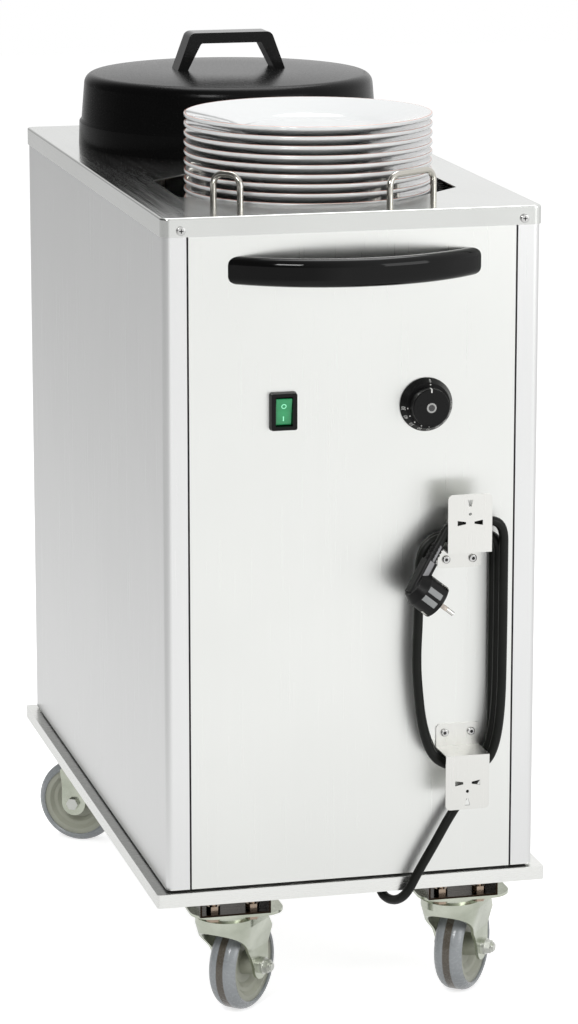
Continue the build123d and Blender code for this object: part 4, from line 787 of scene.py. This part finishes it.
grips = []
for low, high in GRIP_SIDES:
    along, angle = np.meshgrid(np.linspace(GRIP_START, GRIP_END, 34), np.linspace(low, high, 9),
                               indexing="ij")
    edge = np.minimum(np.abs(angle - low), np.abs(high - angle))
    ribs = RIB_RISE * (0.5 + 0.5 * np.cos((along - GRIP_START) * 2 * np.pi / RIB_PITCH))
    rise = (GRIP_RISE + ribs) * np.minimum(edge / GRIP_EDGE, 1)
    grips.append(patch(round_head(along, angle, HEAD_RADIUS - GRIP_SINK + rise)))
piece("plug_grips", *joined(grips), grip_grey, "trolley", "relief_grey")

earth_springs = []
for centre in EARTH_ANGLES:
    across = np.linspace(centre - EARTH_HALF, centre + EARTH_HALF, 7)
    reach, angle = np.meshgrid(EARTH_REACH, across, indexing="ij")
    radius = np.meshgrid(EARTH_RADIUS, across, indexing="ij")[0]
    earth_springs.append(patch(round_head(reach, angle, radius)))
piece("plug_earth_springs", *joined(earth_springs), pin_nickel, "trolley", "pin_nickel")
print("grips", len(grips), "earth springs", len(earth_springs))

# %% [markdown]
# A plain grey bar lies along the plug's neck and goes on as the spine of the strain relief. Both
# are strips in the neck's directions: along it, across it and out from it. The pins are bare metal
# at their ends and sleeved in plastic next to the face, so a mask along their direction parts the
# two.

# %% Plug bar and pins
bar_grey = even("bar_grey", (0.22, 0.22, 0.23), (0.32, 0.32, 0.33), (0.4, 0.5), depth=0.01)
pin_metal = even("pin_metal", **NICKEL)
SLEEVE_EDGE = (9.9, 10.1)
NECK_OUT = np.array((0.312, -0.950, 0.0))
NECK_SIDE = np.cross(PLUG_NECK, -NECK_OUT)
END_SLOPE = 1.2


def neck_strip(start, end, half_width, base, rise, offset):
    """A strip along the neck: flat across its middle and rounded down at its edges and ends."""
    along, across = np.meshgrid(np.linspace(start, end, 24), np.linspace(-1, 1, 13), indexing="ij")
    ends = np.minimum(np.minimum(along - start, end - along) / END_SLOPE, 1)
    height = base + rise * (1 - np.abs(across) ** 6) * np.sqrt(ends)
    foot = NECK_FOOT + (0, MID_Y, 0)
    return patch(foot + along[..., None] * PLUG_NECK + height[..., None] * NECK_OUT
                 + (across * half_width + offset)[..., None] * NECK_SIDE)


bar = neck_strip(0.5, 39.0, 3.3, 7.1, 0.6, 1.2)
spine = neck_strip(38.6, 57.6, 1.4, 5.6, 1.5, 0.4)
piece("plug_bar", *joined([bar, spine]), bar_grey, "trolley", "relief_grey")

tree = pin_metal.node_tree
sleeve = fade(tree, distance_along(tree, HEAD_FACE * MM, HEAD_AXIS), *SLEEVE_EDGE)
tint(tree, sleeve, (0.72, 0.64, 0.56))
bare = add(tree, "Math", {0: 1.0, 1: sleeve}, operation="SUBTRACT")
tree.links.new(bare.outputs[0], tree.nodes["Principled BSDF"].inputs["Metallic"])
dress("plug_pins", pin_metal)
print("bar and spine faces", len(bar[1]) + len(spine[1]))

# %% [markdown]
# The bracket screws have a socket and the cover's screws a cross in their heads. At this size the shade in such
# a recess is only a dark patch, so each is a small dark flat figure just above the head: painted shade, not a
# hollow.

# %% Screw recesses, painted as shade
# The recess figures are near black: painted shade standing in for the hollow of each socket and cross.
recess_dark = even("recess_dark", grey(0.01), grey(0.02), (0.5, 0.6), depth=0.001)


def head_centres(node, radius):
    """The places of a node's screw heads in front view, at the corners of its box."""
    low, high = (np.array(corner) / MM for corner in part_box(node))
    return [(x, z) for x in (low[0] + radius, high[0] - radius) for z in {low[2] + radius, high[2] - radius}]


def flat_figure(outline, x, y, z):
    """A figure of (x, z) corners round its middle, facing the front."""
    outline = np.array(outline)
    corners = np.column_stack([x + outline[:, 0], np.full(len(outline), y), z + outline[:, 1]])
    return np.vstack([[x, y, z], corners]) * MM, fan(len(outline))


SOCKET_REACH = 1.9
SLOT_HALF, SLOT_REACH = 0.45, 2.2
BRACKET_HEAD, COVER_HEAD = 4.3, 4.7
RECESS_GAP = 0.06
corner_angles = [math.radians(60 * corner) for corner in range(6)]
hexagon = [(SOCKET_REACH * math.cos(angle), SOCKET_REACH * math.sin(angle)) for angle in corner_angles]
near, far = SLOT_HALF, SLOT_REACH
cross = [(near, near), (near, far), (-near, far), (-near, near), (-far, near), (-far, -near),
         (-near, -near), (-near, -far), (near, -far), (near, -near), (far, -near), (far, near)]
bracket_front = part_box("bracket_screws")[0].y / MM
cover_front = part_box("cover_screws")[0].y / MM
recesses = [flat_figure(hexagon, x, bracket_front - RECESS_GAP, z)
            for x, z in head_centres("bracket_screws", BRACKET_HEAD)]
recesses += [flat_figure(cross, x, cover_front - RECESS_GAP, z)
             for x, z in head_centres("cover_screws", COVER_HEAD)]
piece("screw_recesses", *joined(recesses), recess_dark, "trolley", "screw_steel")
print("recesses", len(recesses))

# %% [markdown]
# A product on white is lit by broad white surfaces with one side of the studio left dark, so that
# black plastic keeps its edges and steel turns grey towards that side. Here the world is white to
# the camera. Metal and gloss see it too, but it darkens for them towards the left. The floor is
# treated the same way, and it keeps the soft shadow under the wheels.

# %% Floor, world and lamps
DIFFUSE_LEVEL = 0.45
FLOOR_HALF = 9
FLOOR_TONE = 0.8
FLOOR_LIFT = 0.68
MIRROR_LIFT = 0.92
MIRROR_CUT = 0.8


def light_path_masks(tree):
    """One where the camera looks, and one where a mirror or glass looks."""
    path = add(tree, "LightPath")
    mirrored = add(tree, "Math", {0: path.outputs["Is Glossy Ray"], 1: path.outputs["Is Transmission Ray"]},
                   operation="MAXIMUM")
    return path.outputs["Is Camera Ray"], mirrored.outputs[0]


def ramp(tree, coordinate, dark, bright, low, kind="SMOOTHSTEP"):
    """A rise from low at coordinate dark to 1 at coordinate bright."""
    return add(tree, "MapRange", {"Value": coordinate, "From Min": dark, "From Max": bright,
                                  "To Min": low, "To Max": 1.0}, interpolation_type=kind).outputs[0]


floor_mesh = bpy.data.meshes.new("floor")
floor_corners = [(x * FLOOR_HALF, y * FLOOR_HALF, 0) for x, y in ((-1, -1), (1, -1), (1, 1), (-1, 1))]
floor_mesh.from_pydata(floor_corners, [], [(0, 1, 2, 3)])
floor = bpy.data.objects.new("floor", floor_mesh)
bpy.context.collection.objects.link(floor)
floor_white = bpy.data.materials.new("floor_white")
floor_white.use_nodes = True
tree = floor_white.node_tree
shader = tree.nodes["Principled BSDF"]
shader.inputs["Roughness"].default_value = 0.9
shader.inputs["Specular IOR Level"].default_value = 0.0
where = add(tree, "TexCoord")
axes = add(tree, "SeparateXYZ", {0: where.outputs["Object"]})
seen, mirrored = light_path_masks(tree)
base_level = add(tree, "Math", {0: mirrored, 1: -MIRROR_CUT, 2: 1.0}, operation="MULTIPLY_ADD")
tone = mixed(tree, base_level.outputs[0], rgba(grey(0.0)), rgba(grey(FLOOR_TONE)))
tree.links.new(tone, shader.inputs["Base Color"])
left_level = ramp(tree, axes.outputs["X"], -1.5, 0.0, 0.55, "LINEAR")
near_level = ramp(tree, axes.outputs["Y"], -0.3, -1.8, 0.8)
far_level = add(tree, "Math", {0: left_level, 1: near_level}, operation="MINIMUM")
camera_lift = add(tree, "Math", {0: seen, 1: FLOOR_LIFT}, operation="MULTIPLY")
mirror_lift = add(tree, "Math", {0: mirrored, 1: far_level.outputs[0]}, operation="MULTIPLY")
lift = add(tree, "Math", {0: mirror_lift.outputs[0], 1: MIRROR_LIFT, 2: camera_lift.outputs[0]},
           operation="MULTIPLY_ADD")
shader.inputs["Emission Color"].default_value = (1, 1, 1, 1)
tree.links.new(lift.outputs[0], shader.inputs["Emission Strength"])
floor_mesh.materials.append(floor_white)

world = bpy.data.worlds.new("studio")
bpy.context.scene.world = world
world.use_nodes = True
tree = world.node_tree
background = tree.nodes["Background"]
background.inputs["Color"].default_value = (1, 1, 1, 1)
where = add(tree, "TexCoord")
axes = add(tree, "SeparateXYZ", {0: where.outputs["Generated"]})
seen, mirrored = light_path_masks(tree)
side_level = ramp(tree, axes.outputs["X"], -0.7, 0.45, 0.1)
above_diffuse = add(tree, "Math", {0: side_level, 1: DIFFUSE_LEVEL}, operation="SUBTRACT")
mirror_part = add(tree, "Math", {0: mirrored, 1: above_diffuse.outputs[0], 2: DIFFUSE_LEVEL},
                  operation="MULTIPLY_ADD")
level = add(tree, "Math", {0: seen, 1: 1 - DIFFUSE_LEVEL, 2: mirror_part.outputs[0]},
            operation="MULTIPLY_ADD")
tree.links.new(level.outputs[0], background.inputs["Strength"])


def lamp(name, place, target, size, power):
    """A square area lamp at a place, turned towards a target."""
    data = bpy.data.lights.new(name, "AREA")
    data.size = size
    data.energy = power
    thing = bpy.data.objects.new(name, data)
    thing.location = place
    thing.rotation_euler = (Vector(target) - Vector(place)).to_track_quat("-Z", "Y").to_euler()
    bpy.context.collection.objects.link(thing)
    return thing


lamp("key", (-1.7, -2.9, 2.6), (0, 0, 0.6), 0.9, 44)
lamp("fill", (2.2, -3.0, 1.4), (0, 0, 0.6), 1.8, 26)
lamp("top", (0.3, 0.9, 3.0), (0, 0, 0.8), 1.6, 30)
print("lamps", len(bpy.data.lights))
